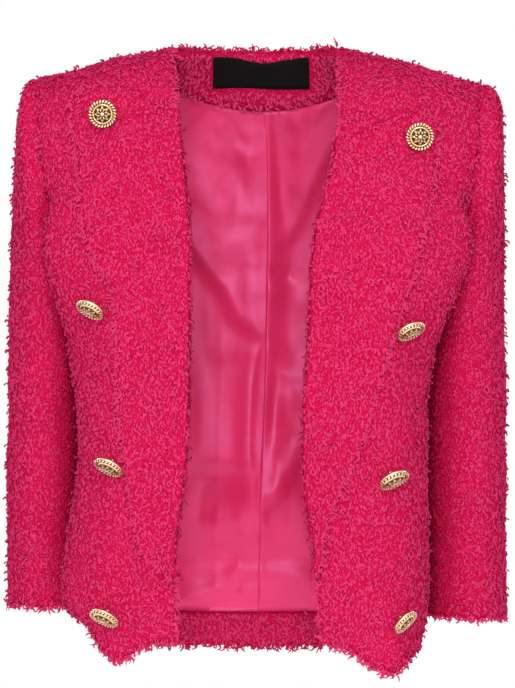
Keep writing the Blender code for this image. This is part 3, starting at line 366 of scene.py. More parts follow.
def pink_satin(colours):
    """Satin: fine threads, a soft sheen and a slightly uneven tone."""
    made = Finish("pink_satin", colours.satin, 0.34, shine=0.72)
    weft = made.noise(made.place((1.0, 1.0, 5.0)), 800.0, 2.0, 0.6)
    warp = made.noise(made.place((6.0, 1.0, 0.7)), 620.0, 2.0, 0.6)
    threads = weft * 0.55 + warp * 0.45
    slubs = made.noise(made.place((0.25, 1.0, 5.0)), 160.0)
    cloud = made.noise(made.place(), 24.0)
    share = threads * 0.40 + slubs * 0.25 + cloud * 0.5
    deep = times(colours.satin, 0.86, 0.86, 0.86)
    pale = tuple(min(1.0, c * 1.08 + 0.01) for c in colours.satin)
    made.set("Base Color", made.mix(share.between(0.3, 0.9), deep, pale))
    made.set("Roughness", 0.33 + 0.12 * threads)
    made.set("Sheen Weight", 0.16)
    made.set("Sheen Roughness", 0.35)
    made.set("Sheen Tint", (1.0, 0.45, 0.70))
    made.set("Specular Tint", (0.80, 0.42, 0.90))
    made.bump(threads * 0.6 + slubs * 0.25, 0.00012)
    return made.material


def gilt(colours):
    """Polished pale gold, dull and darker in its hollows."""
    made = Finish("gilt", colours.gilt, 0.22, metal=1.0)
    hollow = made.value("hollow")
    wear = made.noise(made.place(), 700.0, 3.0, 0.6)
    dull = (hollow * (0.8 + 0.5 * wear)).between(0.10, 0.78)
    made.set("Base Color", made.mix(dull, colours.gilt, times(colours.gilt, 0.17, 0.08, 0.06)))
    made.set("Roughness", 0.16 + 0.16 * wear + 0.25 * hollow)
    made.bump(wear, 0.00005)
    return made.material


def label_tape(colours):
    """Bare woven tape: fine ribs along it."""
    made = Finish("label_tape", colours.label, 0.62, shine=0.05)
    ribs = (made.node("ShaderNodeSeparateXYZ", None, made.place(), out="Z") * 9000.0).sine()
    weave = made.noise(made.place((1.0, 1.0, 3.0)), 1600.0)
    pale = tuple(c * 1.8 + 0.002 for c in colours.label)
    made.set("Base Color", made.mix((ribs * 0.25 + weave).between(0.3, 0.9), colours.label, pale))
    made.set("Roughness", 0.5 + 0.25 * weave)
    made.bump(ribs * 0.4 + weave, 0.00015)
    return made.material


def finish_of(maker):
    """One of the jacket's materials, made when it's first asked for."""
    return bpy.data.materials.get(maker.__name__) or maker(bpy.context.scene.jacket_colours)


# ---------------- meshes from the solids
def unit(vectors):
    return vectors / np.maximum(np.linalg.norm(vectors, axis=-1, keepdims=True), 1e-12)


def in_metres(lengths):
    """Lengths of the tables, which are in millimetres."""
    return np.round(np.divide(lengths, 1000), 6)


def weld(points, tris, grid):
    """Make points on the same spot of a grid one.

    Gives the points to keep, the triangles on them, and which of these are still whole.
    """
    cells = np.round(points / grid).astype(np.int64)
    _, first, back = np.unique(cells, axis=0, return_index=True, return_inverse=True)
    tris = back.reshape(-1)[tris]
    whole = (tris[:, 0] != tris[:, 1]) & (tris[:, 1] != tris[:, 2]) & (tris[:, 0] != tris[:, 2])
    return first, tris, whole


def solid_mesh(node):
    """Welded points and triangles of a solid."""
    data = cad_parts[node].data
    points = np.zeros(len(data.vertices) * 3)
    data.vertices.foreach_get("co", points)
    data.calc_loop_triangles()
    corners = np.zeros(len(data.loop_triangles) * 3, np.int64)
    data.loop_triangles.foreach_get("vertices", corners)
    points = points.reshape(-1, 3)
    first, tris, whole = weld(points, corners.reshape(-1, 3), 2e-6)
    return points[first], tris[whole]


def face_normals(points, tris):
    """Normals and areas of triangles."""
    a, b, c = (points[tris[:, k]] for k in range(3))
    cross = np.cross(b - a, c - a)
    size = np.linalg.norm(cross, axis=1)
    return cross / np.maximum(size, 1e-15)[:, None], size / 2


def edges_of(tris):
    """Each edge of each triangle: the triangle's number and the edge's two points, in its order."""
    for number, (a, b, c) in enumerate(tris.tolist()):
        for start, end in ((a, b), (b, c), (c, a)):
            yield number, start, end


def sides_of(points, tris):
    """A number for each triangle: triangles joined by soft edges share one."""
    normals, _ = face_normals(points, tris)
    edges = {}
    for number, a, b in edges_of(tris):
        edges.setdefault((min(a, b), max(a, b)), []).append(number)
    near = [[] for _ in tris]
    limit = math.cos(math.radians(SOFT_BEND))
    for pair in edges.values():
        if len(pair) == 2 and normals[pair[0]] @ normals[pair[1]] > limit:
            near[pair[0]].append(pair[1])
            near[pair[1]].append(pair[0])
    side, count = np.full(len(tris), -1), 0
    for start in range(len(tris)):
        if side[start] >= 0:
            continue
        side[start], stack = count, [start]
        while stack:
            for other in near[stack.pop()]:
                if side[other] < 0:
                    side[other] = count
                    stack.append(other)
        count += 1
    return side


def middle_line(points, node):
    """For each point, the point of the piece's middle line at its height."""
    if not node.startswith("sleeve"):
        return points * (0.0, 0.0, 1.0)
    z = points[:, 2]
    heights = np.linspace(z.min(), z.max(), 12)
    centre = []
    for height in heights:
        share = np.exp(-((z - height) / 0.03) ** 2)
        centre.append((points * share[:, None]).sum(0) / share.sum())
    x, y, _ = np.array(centre).T
    return np.stack([np.interp(z, heights, x), np.interp(z, heights, y), z], axis=1)


class Skin:
    """A solid's surface cut finely and rounded, with its points' normals.

    `seen` marks the triangles of its seen side, which looks out (1) or in (-1).
    """

    def __init__(self, node, looks, parts, rounding=0.75):
        points, tris = solid_mesh(node)
        side = sides_of(points, tris)
        normals, areas = face_normals(points, tris)
        totals = np.bincount(side, weights=areas)
        large = totals > 0.10 * totals.sum()
        middles = points[tris].mean(axis=1)
        out = middles - middle_line(middles, node)
        facing = np.bincount(side, weights=areas * (normals * out).sum(axis=1)) * looks
        seen = side == np.argmax(np.where(large, facing, -np.inf))
        point_normals = np.zeros_like(points)
        walls = large[side]
        for k in range(3):
            np.add.at(point_normals, tris[walls, k], (normals * areas[:, None])[walls])
        self.divide(points, tris, unit(point_normals), seen, parts, rounding)

    def divide(self, points, tris, normals, seen, parts, rounding):
        """Cut every triangle into parts squared, on a surface bent to the corner normals."""
        steps = [(i, j) for i in range(parts + 1) for j in range(parts + 1 - i)]
        index = {step: k for k, step in enumerate(steps)}
        share = np.array([(parts - i - j, i, j) for i, j in steps], float) / parts
        corner, normal = points[tris], normals[tris]
        flat = np.einsum("kc,tcx->tkx", share, corner)
        bent = np.zeros_like(flat)
        for c in range(3):
            gap = ((flat - corner[:, None, c]) * normal[:, None, c]).sum(axis=2, keepdims=True)
            bent += share[None, :, c, None] * (flat - gap * normal[:, None, c])
        placed = (flat * (1 - rounding) + bent * rounding).reshape(-1, 3)
        turned = np.einsum("kc,tcx->tkx", share, normal).reshape(-1, 3)
        small = []
        for i, j in steps:
            if i + j < parts:
                small.append((index[i, j], index[i + 1, j], index[i, j + 1]))
            if i + j < parts - 1:
                small.append((index[i + 1, j], index[i + 1, j + 1], index[i, j + 1]))
        cut = (np.arange(len(tris))[:, None, None] * len(steps) + np.array(small)[None]).reshape(-1, 3)
        first, cut, whole = weld(placed, cut, 4e-6)
        self.points, self.normals = placed[first], unit(turned[first])
        self.tris, self.seen = cut[whole], np.repeat(seen, len(small))[whole]

    def seen_points(self):
        """The numbers of the points on the seen side."""
        return np.unique(self.tris[self.seen])


def crease_lift(node, points):
    """Height of a piece's creases at each point."""
    total = np.zeros(len(points))
    for *lengths, face in CREASES.get(node, []):
        x0, z0, x1, z1, wide, high = in_metres(lengths)
        along = np.array((x1 - x0, z1 - z0))
        flat = points[:, [0, 2]] - (x0, z0)
        share = np.clip(flat @ along / (along @ along), 0, 1)
        gap = np.linalg.norm(flat - share[:, None] * along, axis=1)
        lift = high * np.exp(-(gap / wide) ** 2)
        if face:
            lift *= np.clip(points[:, 1] * face / 0.03, 0, 1)
        total += lift
    return total


def uneven(points, scale, seed):
    """Smooth noise from -1 to 1 at each point."""
    shift = Vector((seed * 3.1, seed * 1.7, seed * 5.3))
    return np.array([noise.noise(Vector(p) * scale + shift) for p in points])


def shoulder_rise(points, normals):
    """The cloth stands a little higher over the middle of each shoulder."""
    across = np.interp(np.abs(points[:, 0]), (0.05, 0.08, 0.14, 0.17), (0.0, 0.0026, 0.0026, 0.0))
    return across * np.clip(normals[:, 2] / 0.5, 0, 1) * (points[:, 2] > -0.06)


def tweed_skin(node, looks, relief):
    """The finely cut cloth of a piece, with its creases and unevenness."""
    skin = Skin(node, looks, 2 if node.startswith(("back", "sleeve")) else 3)
    seen = skin.seen_points()
    points, normals = skin.points[seen], skin.normals[seen]
    lift = crease_lift(node, points)
    lift += relief * (uneven(points, 62.0, 1) * 0.8 + uneven(points, 130.0, 2) * 0.5)
    if not node.startswith("sleeve"):
        lift += shoulder_rise(points, normals)
    skin.points[seen] += normals * lift[:, None]
    return skin


def linked(name, data):
    """A new object in the scene."""
    thing = bpy.data.objects.new(name, data)
    bpy.context.scene.collection.objects.link(thing)
    return thing


def make_piece(name, points, tris, material, slot, normals=None, **values):
    """A mesh object that rides with the jacket; `values` are numbers kept on its points."""
    mesh = bpy.data.meshes.new(name)
    mesh.vertices.add(len(points))
    mesh.vertices.foreach_set("co", np.asarray(points, np.float32).ravel())
    mesh.loops.add(len(tris) * 3)
    mesh.loops.foreach_set("vertex_index", np.asarray(tris, np.int32).ravel())
    mesh.polygons.add(len(tris))
    mesh.polygons.foreach_set("loop_start", np.arange(0, len(tris) * 3, 3, dtype=np.int32))
    mesh.polygons.foreach_set("use_smooth", np.full(len(tris), True))
    mesh.update(calc_edges=True)
    if mesh.validate():
        raise RuntimeError(f"{name} has bad faces")
    if normals is not None:
        mesh.normals_split_custom_set_from_vertices(normals)
    for key, numbers in values.items():
        kept = mesh.attributes.new(key, "FLOAT", "POINT")
        kept.data.foreach_set("value", np.asarray(numbers, np.float32))
    mesh.materials.append(material)
    thing = linked(name, mesh)
    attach(thing, "root")
    return thing


def tweed_name(kind, node):
    """A piece's name: back_neck_facing gives, for instance, pile_neck_facing."""
    return f"{kind}_{node.removeprefix('back_')}"


# ---------------- pile and raw edges
def cloth_tree(nodes):
    """All the cloth of some pieces, to measure against."""
    points, tris, start = [], [], 0
    for node in nodes:
        skin = SKINS[node]
        points.append(skin.points)
        tris.append(skin.tris + start)
        start += len(skin.points)
    return BVHTree.FromPolygons(np.concatenate(points).tolist(), np.concatenate(tris).tolist())


def picked(sizes, count, rng):
    """The numbers of `count` things, picked evenly by their sizes."""
    edge = np.cumsum(sizes)
    at = (np.arange(count) + rng.random(count)) / count * edge[-1]
    return np.minimum(np.searchsorted(edge, at), len(edge) - 1)


def scatter(skin, count, rng):
    """Places on the seen side, evenly by area: points and normals."""
    tris = skin.tris[skin.seen]
    tris = tris[picked(face_normals(skin.points, tris)[1], count, rng)]
    a, b = rng.random(count), rng.random(count)
    over = a + b > 1
    a[over], b[over] = 1 - a[over], 1 - b[over]
    share = np.stack([1 - a - b, a, b], axis=1)[:, :, None]
    return (skin.points[tris] * share).sum(axis=1), unit((skin.normals[tris] * share).sum(axis=1))


def uncovered(points, normals, tree, reach=0.012, touch=0.0030):
    """Which places have no other cloth lying over them or touching them."""
    return np.array([tree.ray_cast(Vector(p + n * 0.0006), Vector(n), reach)[0] is None
                     and tree.find_nearest(Vector(p), touch)[0] is None for p, n in zip(points, normals)])


def shelter(points, normals, tree, reach=0.07, clear=0.004):
    """The share of the view from each place that other cloth shuts off."""
    shut = np.zeros(len(points))
    leans = ((0, 0, 0), (1, 0, 0), (-1, 0, 0), (0, 0, 1), (0, 0, -1))
    for lean in leans:
        for i, (p, way) in enumerate(zip(points + normals * clear, normals + lean)):
            shut[i] += tree.ray_cast(Vector(p), Vector(way), reach)[0] is not None
    return shut / len(leans)


def yarns(path, radius):
    """Yarns along some paths, with a ring of three points at each inner place of a path.

    Gives the points and outward ways, a row for each yarn, and the triangles.
    """
    count, places = path.shape[:2]
    spin = (np.arange(count) * 2.399) % (2 * math.pi)
    points, ways = [path[:, :1]], [np.zeros((count, 1, 3))]
    for k in range(1, places - 1):
        way = unit(path[:, k + 1] - path[:, k - 1])
        first = unit(np.cross(way, (0.31, 0.87, 0.38)))
        second = np.cross(way, first)
        for m in range(3):
            angle = (spin + k * 0.4 + m * 2 * math.pi / 3)[:, None]
            around = first * np.cos(angle) + second * np.sin(angle)
            points.append((path[:, k] + around * radius[:, k - 1, None])[:, None])
            ways.append(around[:, None])
    points.append(path[:, -1:])
    ways.append(np.zeros((count, 1, 3)))
    points = np.concatenate(points, axis=1)
    tip = points.shape[1] - 1
    faces = []
    for m in range(3):
        n = (m + 1) % 3
        faces += [(0, 1 + n, 1 + m), (tip - 3 + m, tip - 3 + n, tip)]
        for k in range(places - 3):
            a, b = 1 + 3 * k, 4 + 3 * k
            faces += [(a + m, a + n, b + m), (a + n, b + n, b + m)]
    tris = (np.arange(count)[:, None, None] * (tip + 1) + np.array(faces)[None]).reshape(-1, 3)
    return points, tris, np.concatenate(ways, axis=1)


def curl_parts(points, tris, ways, lean, rise, tone):
    """Curls as one mesh's points and triangles, and the normals, painted light and tone kept on their
    points.

    Fibres scatter light, so a curl's normals lean to the cloth's.
    """
    normals = unit(ways + lean[:, None] + 1e-6).reshape(-1, 3)
    return points.reshape(-1, 3), tris, {"normals": normals, "rise": rise.ravel().clip(0, 1),
                                         "tone": np.repeat(tone, points.shape[1])}


def downward(normal):
    """The way down along the cloth, and towards the front where it lies level."""
    down = normal * normal[:, 2:3] - (0.0, 0.0, 1.0)
    down[np.linalg.norm(down, axis=1) < 0.25] += (0.0, -0.3, 0.0)
    down -= normal * (down * normal).sum(axis=1, keepdims=True)
    return unit(down)


def pile(point, normal, shut, sizes, rng):
    """Curls of the boucle at some places, in soft clumps, redder where they are shut in (painted shade).
    """
    count = len(point)
    clump = 0.6 * uneven(point, 75.0, 5) + 0.8 * uneven(point, 165.0, 6)
    angle = rng.normal(0, PARTING, count) + uneven(point, 48.0, 7) * 0.7
    wild = rng.random(count) < WILD
    angle[wild] = rng.random(wild.sum()) * 2 * math.pi
    angle, down = angle[:, None], downward(normal)
    along = down * np.cos(angle) + np.cross(normal, down) * np.sin(angle)
    aside = np.cross(normal, along)
    loose = rng.random(count) < LOOSE
    feet = in_metres([foot for foot, _ in BUTTONS.values()])
    gap = np.linalg.norm(point[:, None, (0, 2)] - feet[None], axis=2).min(axis=1)
    swell = 1 + 1.6 * np.exp(-(gap / SHANK_REACH) ** 2) * (point[:, 1] < 0)
    length = sizes.curl_length * rng.uniform(0.65, 1.25, count) * (1 + 0.15 * clump)
    height = sizes.pile_height * rng.uniform(0.45, 1.20, count) * (1 + 0.55 * clump)
    height = (np.where(loose, height * 2.3 + 0.0005, height) * swell)[:, None]
    length = np.where(loose, length * 0.75, length)[:, None]
    bend = rng.normal(0, 1.1, count)[:, None]
    upright, flat = rng.uniform(-0.5, 0.2, count), rng.normal(0.8, 0.3, count).clip(0, 1.1)
    lay = np.where(loose, upright, flat)[:, None]
    path = np.stack([
        point - normal * 0.0003,
        point + normal * height * 0.85 + (along * 0.26 + aside * bend * 0.20) * length,
        point + normal * height * (1.05 - 0.25 * lay) + (along * 0.70 + aside * bend * 0.26) * length,
        point + normal * height * (0.75 - 0.75 * lay) + along * length,
    ], axis=1)
    radius = sizes.curl_radius * rng.uniform(0.75, 1.30, count) * (1 + 0.2 * clump)
    points, tris, ways = yarns(path, radius[:, None] * (1.0, 0.9))
    # painted light and shade: paler the higher a point stands and the more it looks out from the cloth,
    # redder where other cloth shuts the place in
    above = ((points - point[:, None]) * normal[:, None]).sum(axis=2) / PAINTED_LIGHT_HEIGHT
    rise = 0.14 + 0.50 * above.clip(0, 0.9) + 0.40 * (ways * normal[:, None]).sum(axis=2)
    rise -= 0.9 * shut[:, None]
    tone = np.clip(0.5 + 0.20 * rng.normal(0, 1, count) + 0.35 * clump, 0, 1)
    return curl_parts(points, tris, ways, normal * 1.25, rise, tone)


def raw_edges(skin, others, reach):
    """The seen side's edges that no other piece meets: their ends, normal and way out."""
    pairs = {}
    for _, a, b in edges_of(skin.tris[skin.seen]):
        key = (min(a, b), max(a, b))
        pairs[key] = None if key in pairs else (a, b)
    rows = []
    for pair in filter(None, pairs.values()):
        a, b = skin.points[pair[0]], skin.points[pair[1]]
        normal = unit(skin.normals[pair[0]] + skin.normals[pair[1]])
        out = np.cross(b - a, normal)
        if np.linalg.norm(out) < 1e-6:
            continue
        out = unit(out)
        if others.find_nearest(Vector((a + b) / 2 + out * 0.0035), reach)[0] is None:
            rows.append((a, b, normal, out))
    return rows


def loose_ends(rows, sizes, rng, lean):
    """Short ends of yarn along raw edges, most of them curled back on themselves.

    `lean` is how far their shading leans to the cloth's outer side.
    """
    a, b, normal, out = (np.array(part) for part in zip(*rows))
    runs = np.linalg.norm(b - a, axis=1)
    count = int(np.cumsum(runs)[-1] / sizes.fray_spacing)
    pick = picked(runs, count, rng)
    share = rng.random(count)[:, None]
    root = a[pick] * (1 - share) + b[pick] * share
    normal, out = normal[pick], out[pick]
    side = np.cross(normal, out)
    length = sizes.fray_length * rng.gamma(6.0, 1 / 6.0, count) * (1 + 0.8 * uneven(root, 120.0, 9))
    step = np.clip(length, 0.002, 0.0095)[:, None] / 4
    angle = rng.normal(0, 0.75, count)[:, None]
    turn = (rng.choice((-1.0, 1.0), count) * np.abs(rng.normal(0.85, 0.40, count)))[:, None]
    tilt, bow = rng.normal(0, 0.35, count)[:, None], rng.normal(0, 0.5, count)[:, None]
    place = root - out * 0.0012 - normal * rng.uniform(0.0, 0.0020, count)[:, None]
    path = [place]
    for k in range(4):
        way = out * np.cos(angle) + side * np.sin(angle) + normal * (tilt + bow * (k - 1.5) / 2)
        place = place + step * way + (0.0, 0.0, -0.00012 * k)
        path.append(place)
        angle = angle + turn * (0.4 if k == 0 else 1.0)
    thick = rng.uniform(0.75, 1.25, count)[:, None] * sizes.curl_radius
    points, tris, ways = yarns(np.stack(path, axis=1), thick * (1.0, 0.95, 0.8))
    # painted light: paler on the side of each end that looks out from the cloth
    rise = 0.55 + 0.30 * (ways * normal[:, None]).sum(axis=2)
    tone = np.clip(0.50 + 0.24 * rng.normal(0, 1, count), 0, 1)
    return curl_parts(points, tris, ways, normal * lean, rise, tone)


# ---------------- satin
def fold_lift(points, half):
    """Height of the satin's folds at each point of one half: -1 left, 1 right."""
    total = np.zeros(len(points))
    for side, *lengths, way in SATIN_FOLDS:
        if side != half:
            continue
        left, right, high = in_metres(lengths)
        way = in_metres(way)
        near, share = np.full(len(points), 9.0), np.zeros(len(points))
        for start, end in zip(way, way[1:]):
            along = end - start
            size = np.linalg.norm(along)
            along /= size
            flat = points[:, [0, 2]] - start
            past = flat @ along
            beside = flat @ np.array((-along[1], along[0]))
            gap = np.hypot(beside, np.maximum(np.maximum(-past, past - size), 0))
            closer = gap < near
            near[closer] = gap[closer]
            share[closer] = 0.5 + 0.5 * (beside / np.maximum(gap, 1e-9))[closer]
        share = share * share * (3 - 2 * share)
        wide = right + (left - right) * share
        total += high * np.exp(-(near / wide) ** 2)
    return total


def satin_lift(points, half, edge):
    """Height of one half's folds and of the rolled edge of the pleat, where the left half lies over."""
    past = points[:, 0] - np.interp(points[:, 2], *edge)
    if half > 0:
        heights, lifts, rolls = in_metres(PLEAT).T
        roll = np.exp(-(np.maximum(past, 0) / np.interp(points[:, 2], heights, rolls)) ** 2)
        lift = fold_lift(points, 1) + np.interp(points[:, 2], heights, lifts) * roll
        return lift * np.exp(-(np.minimum(past, 0) / 0.004) ** 2)
    under = points.copy()
    under[:, 0] -= past
    near = np.exp(-(past / 0.045) ** 2)
    lift = fold_lift(points, -1)
    lift = (lift + np.hypot(lift, 0.001)) / 2
    return lift * (1 - 0.4 * near) + (satin_lift(under, 1, edge) - 0.0030) * near


def edge_line(points):
    """The pleat's edge: the greatest x of the left half at each height."""
    heights = np.linspace(points[:, 2].min() + 0.02, -0.05, 40)
    reach = [points[np.abs(points[:, 2] - z) < 0.020][:, 0].max() for z in heights]
    return heights, reach


# ---------------- turned shapes
def turn_to(face):
    """Three axes with the last along a button's face."""
    last = Vector(face).normalized()
    first = Vector((0.0, 0.0, 1.0)).cross(last).normalized()
    return np.array([first, last.cross(first), last])


def circle(count):
    return np.arange(count) * 2 * math.pi / count


def ring_tris(rings, around, closed=False):
    """Triangles of a grid of rings, joined round, and from the last ring to the first if closed."""
    tris = []
    for i in range(rings if closed else rings - 1):
        for j in range(around):
            k, a, b = (j + 1) % around, i * around, (i + 1) % rings * around
            tris += [(a + j, b + j, b + k), (a + j, b + k, a + k)]
    return tris


def button_body(radius, around=56, petals=8):
    """A domed button with a flower in its middle, and its shank: points, triangles and hollows."""
    turn = circle(around)
    points, hollow = [], []
    for r, h in BUTTON_SECTION:
        if h > 0.05 and 0.14 < r < 0.60:
            width = math.sin(math.pi * min(1.0, (r - 0.14) / 0.46 * 0.92 + 0.08)) ** 0.6
            wave = np.abs(((turn * petals / (2 * math.pi) + 0.5 * (r > 0.42)) % 1.0) - 0.5) * 2
            petal = np.clip(1 - wave / max(width, 0.05), 0, 1) ** 0.5
            h = h - 0.10 + 0.14 * petal
            hollow.append(1 - 0.75 * petal)
        else:
            groove = 0.60 < r < 0.635 or 0.76 < r < 0.90 and h > 0
            hollow.append(np.full(around, float(groove)))
        r = max(r, 0.0001)
        points.append(np.stack([r * np.cos(turn), r * np.sin(turn), np.full(around, h)], axis=1))
    tris = ring_tris(len(BUTTON_SECTION), around)
    size = len(BUTTON_SECTION) * around
    for j in range(around):
        k = (j + 1) % around
        tris += [(size, j, k), (size + 1, size - around + k, size - around + j)]
    ends = [(0.0, 0.0, BUTTON_SECTION[0][1]), (0.0, 0.0, BUTTON_SECTION[-1][1])]
    points = np.concatenate([*points, ends]) * radius
    return points, np.array(tris), np.concatenate([*hollow, [0.0, 0.0]])


def rope_rim(radius, strands=26, around=130, across=8):
    """A twisted rope round a button's edge: points, triangles and hollows."""
    turn, spin = (grid.ravel() for grid in np.meshgrid(circle(around), circle(across), indexing="ij"))
    wave = 0.5 + 0.5 * np.cos(strands * turn - spin)
    thick = 0.085 + 0.034 * wave ** 0.6
    out = 0.895 + thick * np.cos(spin)
    high = 0.055 + thick * 0.95 * np.sin(spin)
    points = np.stack([out * np.cos(turn), out * np.sin(turn), high], axis=1)
    return points * radius, np.array(ring_tris(around, across, True)), (1 - wave) ** 1.3


def turned(name, section, made):
    """A stage piece turned round the upright axis from its half section of (radius, height)."""
    around = 64
    points = [(r * math.cos(a), r * math.sin(a), z) for r, z in section for a in circle(around)]
    mesh = bpy.data.meshes.new(name)
    mesh.from_pydata(points, [], ring_tris(len(section), around))
    mesh.polygons.foreach_set("use_smooth", [True] * len(mesh.polygons))
    mesh.materials.append(made.material)
    thing = linked(name, mesh)
    return thing


# ---------------- operators
class JACKET_OT_tweed(bpy.types.Operator):
    """Make the tweed walls: back, fronts, lapels, sleeves and inside strips"""
    bl_idname = "jacket.tweed"
    bl_label = "Tweed walls"

    def execute(self, context):
        for node, looks, held, wide, long, share in TWEED:
            skin = SKINS[node] = tweed_skin(node, looks, context.scene.jacket_sizes.relief)
            name = tweed_name("tweed", node)
            thing = make_piece(name, skin.points, skin.tris, finish_of(tweed_ground), "tweed")
            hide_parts(node)
        return {"FINISHED"}


class JACKET_OT_lining(bpy.types.Operator):
    """Make the two halves of the satin lining, with their folds"""
    bl_idname = "jacket.lining"
    bl_label = "Satin lining"

    def execute(self, context):
        edge = edge_line(solid_mesh("lining_left")[0])
        for node, half in (("lining_left", -1), ("lining_right", 1)):
            skin = Skin(node, -1, 5, 0.9)
            seen = skin.seen_points()
            points = skin.points[seen]
            lift = satin_lift(points, half, edge)
            lift += 0.0007 * uneven(points * (1.0, 1.0, 0.6), 38.0, 3)
            lift += 0.00022 * uneven(points, 120.0, 8)
            skin.points[seen] += unit(skin.normals[seen] + (0.0, -1.0, 0.0)) * lift[:, None]
            thing = make_piece("satin_" + node, skin.points, skin.tris, finish_of(pink_satin), "satin")
            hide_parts(node)
        return {"FINISHED"}


class JACKET_OT_label(bpy.types.Operator):
    """Make the bare woven label inside the neck"""
    bl_idname = "jacket.label"
    bl_label = "Neck label"

    def execute(self, context):
        skin = SKINS["neck_label"] = Skin("neck_label", -1, 4, 0.9)
        seen = skin.seen_points()
        lift = 0.0005 * uneven(skin.points[seen], 55.0, 4) + 0.0003
        skin.points[seen] += skin.normals[seen] * lift[:, None]
        # its upper edge sags in the middle
        x, _, z = skin.points.T
        dip = np.exp(-((x + 0.002) / 0.021) ** 2) * (z - z.min()) / (z.max() - z.min())
        skin.points += dip[:, None] * (0.0, -0.0022, -0.0055)
        thing = make_piece("neck_label_tape", skin.points, skin.tris, finish_of(label_tape), "label")
        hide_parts("neck_label")
        return {"FINISHED"}


class JACKET_OT_pile(bpy.types.Operator):
    """Cover the tweed with the curls of its boucle yarn"""
    bl_idname = "jacket.pile"
    bl_label = "Boucle pile"

    def execute(self, context):
        sizes = context.scene.jacket_sizes
        lapels = cloth_tree(["lapel_left", "lapel_right"])
        outer = cloth_tree([node for node, looks, *_ in TWEED if looks > 0])
        covers = {"front_left": lapels, "front_right": lapels,
                  "back_neck_facing": cloth_tree(["neck_label"])}
        skins = [SKINS[row[0]] for row in TWEED]
        areas = [face_normals(skin.points, skin.tris[skin.seen])[1].sum() for skin in skins]
        share = sizes.curl_count / (sum(areas) - COVERED_AREA)
        for number, (node, looks, *_) in enumerate(TWEED):
            rng = np.random.default_rng(PILE_SEED + number)
            point, normal = scatter(skins[number], int(areas[number] * share), rng)
            if node in covers:
                free = uncovered(point, normal, covers[node])
                point, normal = point[free], normal[free]
            # the share of the view that other cloth shuts off gives the curls painted shade
            shut = shelter(point, normal, outer) if looks > 0 else np.zeros(len(point))
            parts = 1 + len(point) // CURLS_IN_A_PIECE
            order = np.argsort(point[:, 0]) if parts > 1 else np.arange(len(point))
            for k, chosen in enumerate(np.array_split(order, parts)):
                points, tris, kept = pile(point[chosen], normal[chosen], shut[chosen], sizes, rng)
                if "facing" in node:
                    # the inside strips are seen only from the front; painted light makes their curls
                    # paler, and their normals lean to the front and up, against the shade inside the
                    # jacket
                    kept["rise"] = (kept["rise"] + 0.6).clip(0, 1)
                    kept["normals"] = unit(kept["normals"] + (0.0, -2.6, 1.0))
                name = tweed_name("pile", node) + (f"_{k + 1}" if parts > 1 else "")
                make_piece(name, points, tris, finish_of(tweed_curl), "tweed", **kept)
        return {"FINISHED"}


class JACKET_OT_fray(bpy.types.Operator):
    """Add the loose ends at the raw edges"""
    bl_idname = "jacket.fray"
    bl_label = "Raw edges"

    def execute(self, context):
        for number, (node, *_) in enumerate(TWEED):
            others = cloth_tree([row[0] for row in TWEED if row[0] != node and "facing" not in row[0]])
            lapel = node.startswith("lapel")
            edges = raw_edges(SKINS[node], others, 0.0026 if lapel else 0.0060)
            if lapel:
                outward = -1 if node.endswith("left") else 1
                edges = [edge for edge in edges if edge[3][0] * outward > -0.2]
            if not edges or node == "back_neck_facing":
                continue
            # the back's ends are seen from inside too, so their shading doesn't lean out
            points, tris, kept = loose_ends(edges, context.scene.jacket_sizes,
                                            np.random.default_rng(FRAY_SEED + number),
                                            0.0 if node == "back" else 0.9)
            make_piece(tweed_name("fray", node), points, tris, finish_of(tweed_curl), "tweed", **kept)
        return {"FINISHED"}


class JACKET_OT_buttons(bpy.types.Operator):
    """Make the eight gilt buttons with their rope rims"""
    bl_idname = "jacket.buttons"
    bl_label = "Gilt buttons"

    def execute(self, context):
        for node, (_, face) in BUTTONS.items():
            axes = turn_to(face)
            local = solid_mesh(node)[0] @ axes.T
            middle = (local.max(0) + local.min(0)) / 2
            radius = np.linalg.norm((local - middle)[:, :2], axis=1).max()
            middle[2] = local[:, 2].max() - 0.34 * radius
            body, tris, hollow = button_body(radius)
            rope, rope_tris, dents = rope_rim(radius)
            thing = make_piece("gilt_" + node, (np.concatenate([body, rope]) + middle) @ axes,
                               np.concatenate([tris, rope_tris + len(body)]), finish_of(gilt), "gold",
                               hollow=np.concatenate([hollow, dents]))
            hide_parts(node)
        return {"FINISHED"}


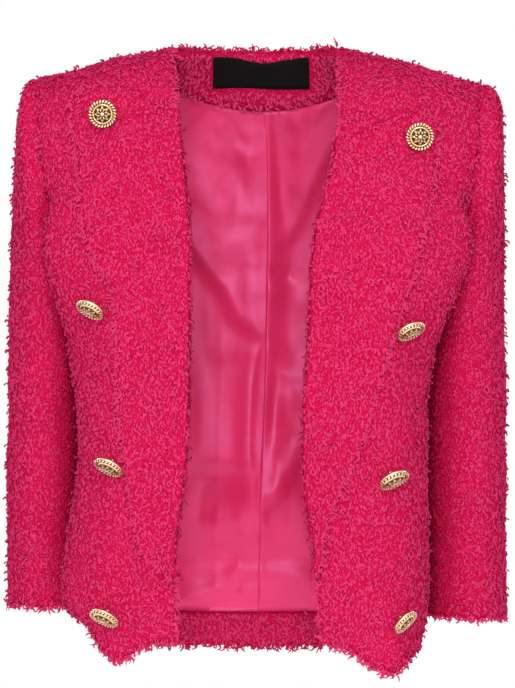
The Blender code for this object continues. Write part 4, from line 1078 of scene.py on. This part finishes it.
class JACKET_OT_stage(bpy.types.Operator):
    """Set up the pale floor, the soft lights and the camera"""
    bl_idname = "jacket.stage"
    bl_label = "Stage"

    def execute(self, context):
        scene = context.scene
        scene.view_settings.view_transform = "Standard"
        made = Finish("pale_floor", (0.94, 0.94, 0.94), 0.9, shine=0.1)
        reach = made.node("ShaderNodeVectorMath", {"operation": "LENGTH"}, made.place((1.0, 1.0, 0.0)),
                          out="Value")
        made.set("Alpha", 1 - reach.between(1.9, 3.2))
        turned("floor", [(r, FLOOR_HEIGHT) for r in (0.01, 0.8, 1.6, 2.4, 3.3)], made)
        made = Finish("white_surround", (0.0, 0.0, 0.0), 1.0, shine=0.0)
        made.set("Emission Color", (1.0, 1.0, 1.0))
        made.set("Emission Strength", 1.0)
        arc = np.linspace(-math.pi / 2 + 0.001, math.pi / 2 - 0.001, 25)
        section = [(SURROUND_RADIUS * math.cos(a), SURROUND_RADIUS * math.sin(a)) for a in arc]
        surround = turned("surround", section, made)
        for rays in ("diffuse", "transmission", "volume_scatter", "shadow"):
            setattr(surround, "visible_" + rays, False)
        for name, place, wide, high, watts in LIGHTS:
            data = bpy.data.lights.new(name, "AREA")
            data.shape, data.size, data.size_y, data.energy = "RECTANGLE", wide, high, watts
            lamp = linked(name, data)
            lamp.location = place
            lamp.visible_glossy = name != "front"
            lamp.rotation_euler = (Vector(LIGHTS_AIM) - Vector(place)).to_track_quat("-Z", "Y").to_euler()
        scene.world = bpy.data.worlds.new("studio")
        scene.world.use_nodes = True
        background = scene.world.node_tree.nodes["Background"]
        background.inputs["Color"].default_value = (1.0, 1.0, 1.0, 1.0)
        background.inputs["Strength"].default_value = WORLD_LIGHT
        data = bpy.data.cameras.new("camera")
        data.lens = FOCAL_PIXELS / FRAME_PIXELS * SENSOR
        data.sensor_width, data.sensor_fit = SENSOR, "AUTO"
        data.clip_start, data.clip_end = 0.05, 30.0
        scene.camera = linked("camera", data)
        scene.camera.location = CAMERA_PLACE
        scene.camera.rotation_euler = (math.pi / 2, 0.0, 0.0)
        return {"FINISHED"}


class JACKET_PT_panel(bpy.types.Panel):
    """The jacket's steps, sizes and colours"""
    bl_idname = "JACKET_PT_panel"
    bl_label = "Boucle jacket"
    bl_space_type = "VIEW_3D"
    bl_region_type = "UI"
    bl_category = "Jacket"

    def draw(self, context):
        for group in (context.scene.jacket_sizes, context.scene.jacket_colours):
            for name in group.__annotations__:
                self.layout.prop(group, name)
        for step in STEPS:
            self.layout.operator(step.bl_idname)


STEPS = (JACKET_OT_tweed, JACKET_OT_lining, JACKET_OT_label, JACKET_OT_pile, JACKET_OT_fray,
         JACKET_OT_buttons, JACKET_OT_stage)
CLASSES = (JacketSizes, JacketColours, *STEPS, JACKET_PT_panel)


def register():
    for cls in CLASSES:
        bpy.utils.register_class(cls)
    bpy.types.Scene.jacket_sizes = PointerProperty(type=JacketSizes)
    bpy.types.Scene.jacket_colours = PointerProperty(type=JacketColours)


def unregister():
    del bpy.types.Scene.jacket_sizes, bpy.types.Scene.jacket_colours
    for cls in reversed(CLASSES):
        bpy.utils.unregister_class(cls)


def main():
    register()
    for step in STEPS:
        group, name = step.bl_idname.split(".")
        getattr(getattr(bpy.ops, group), name)()


if __name__ == "__main__":
    main()
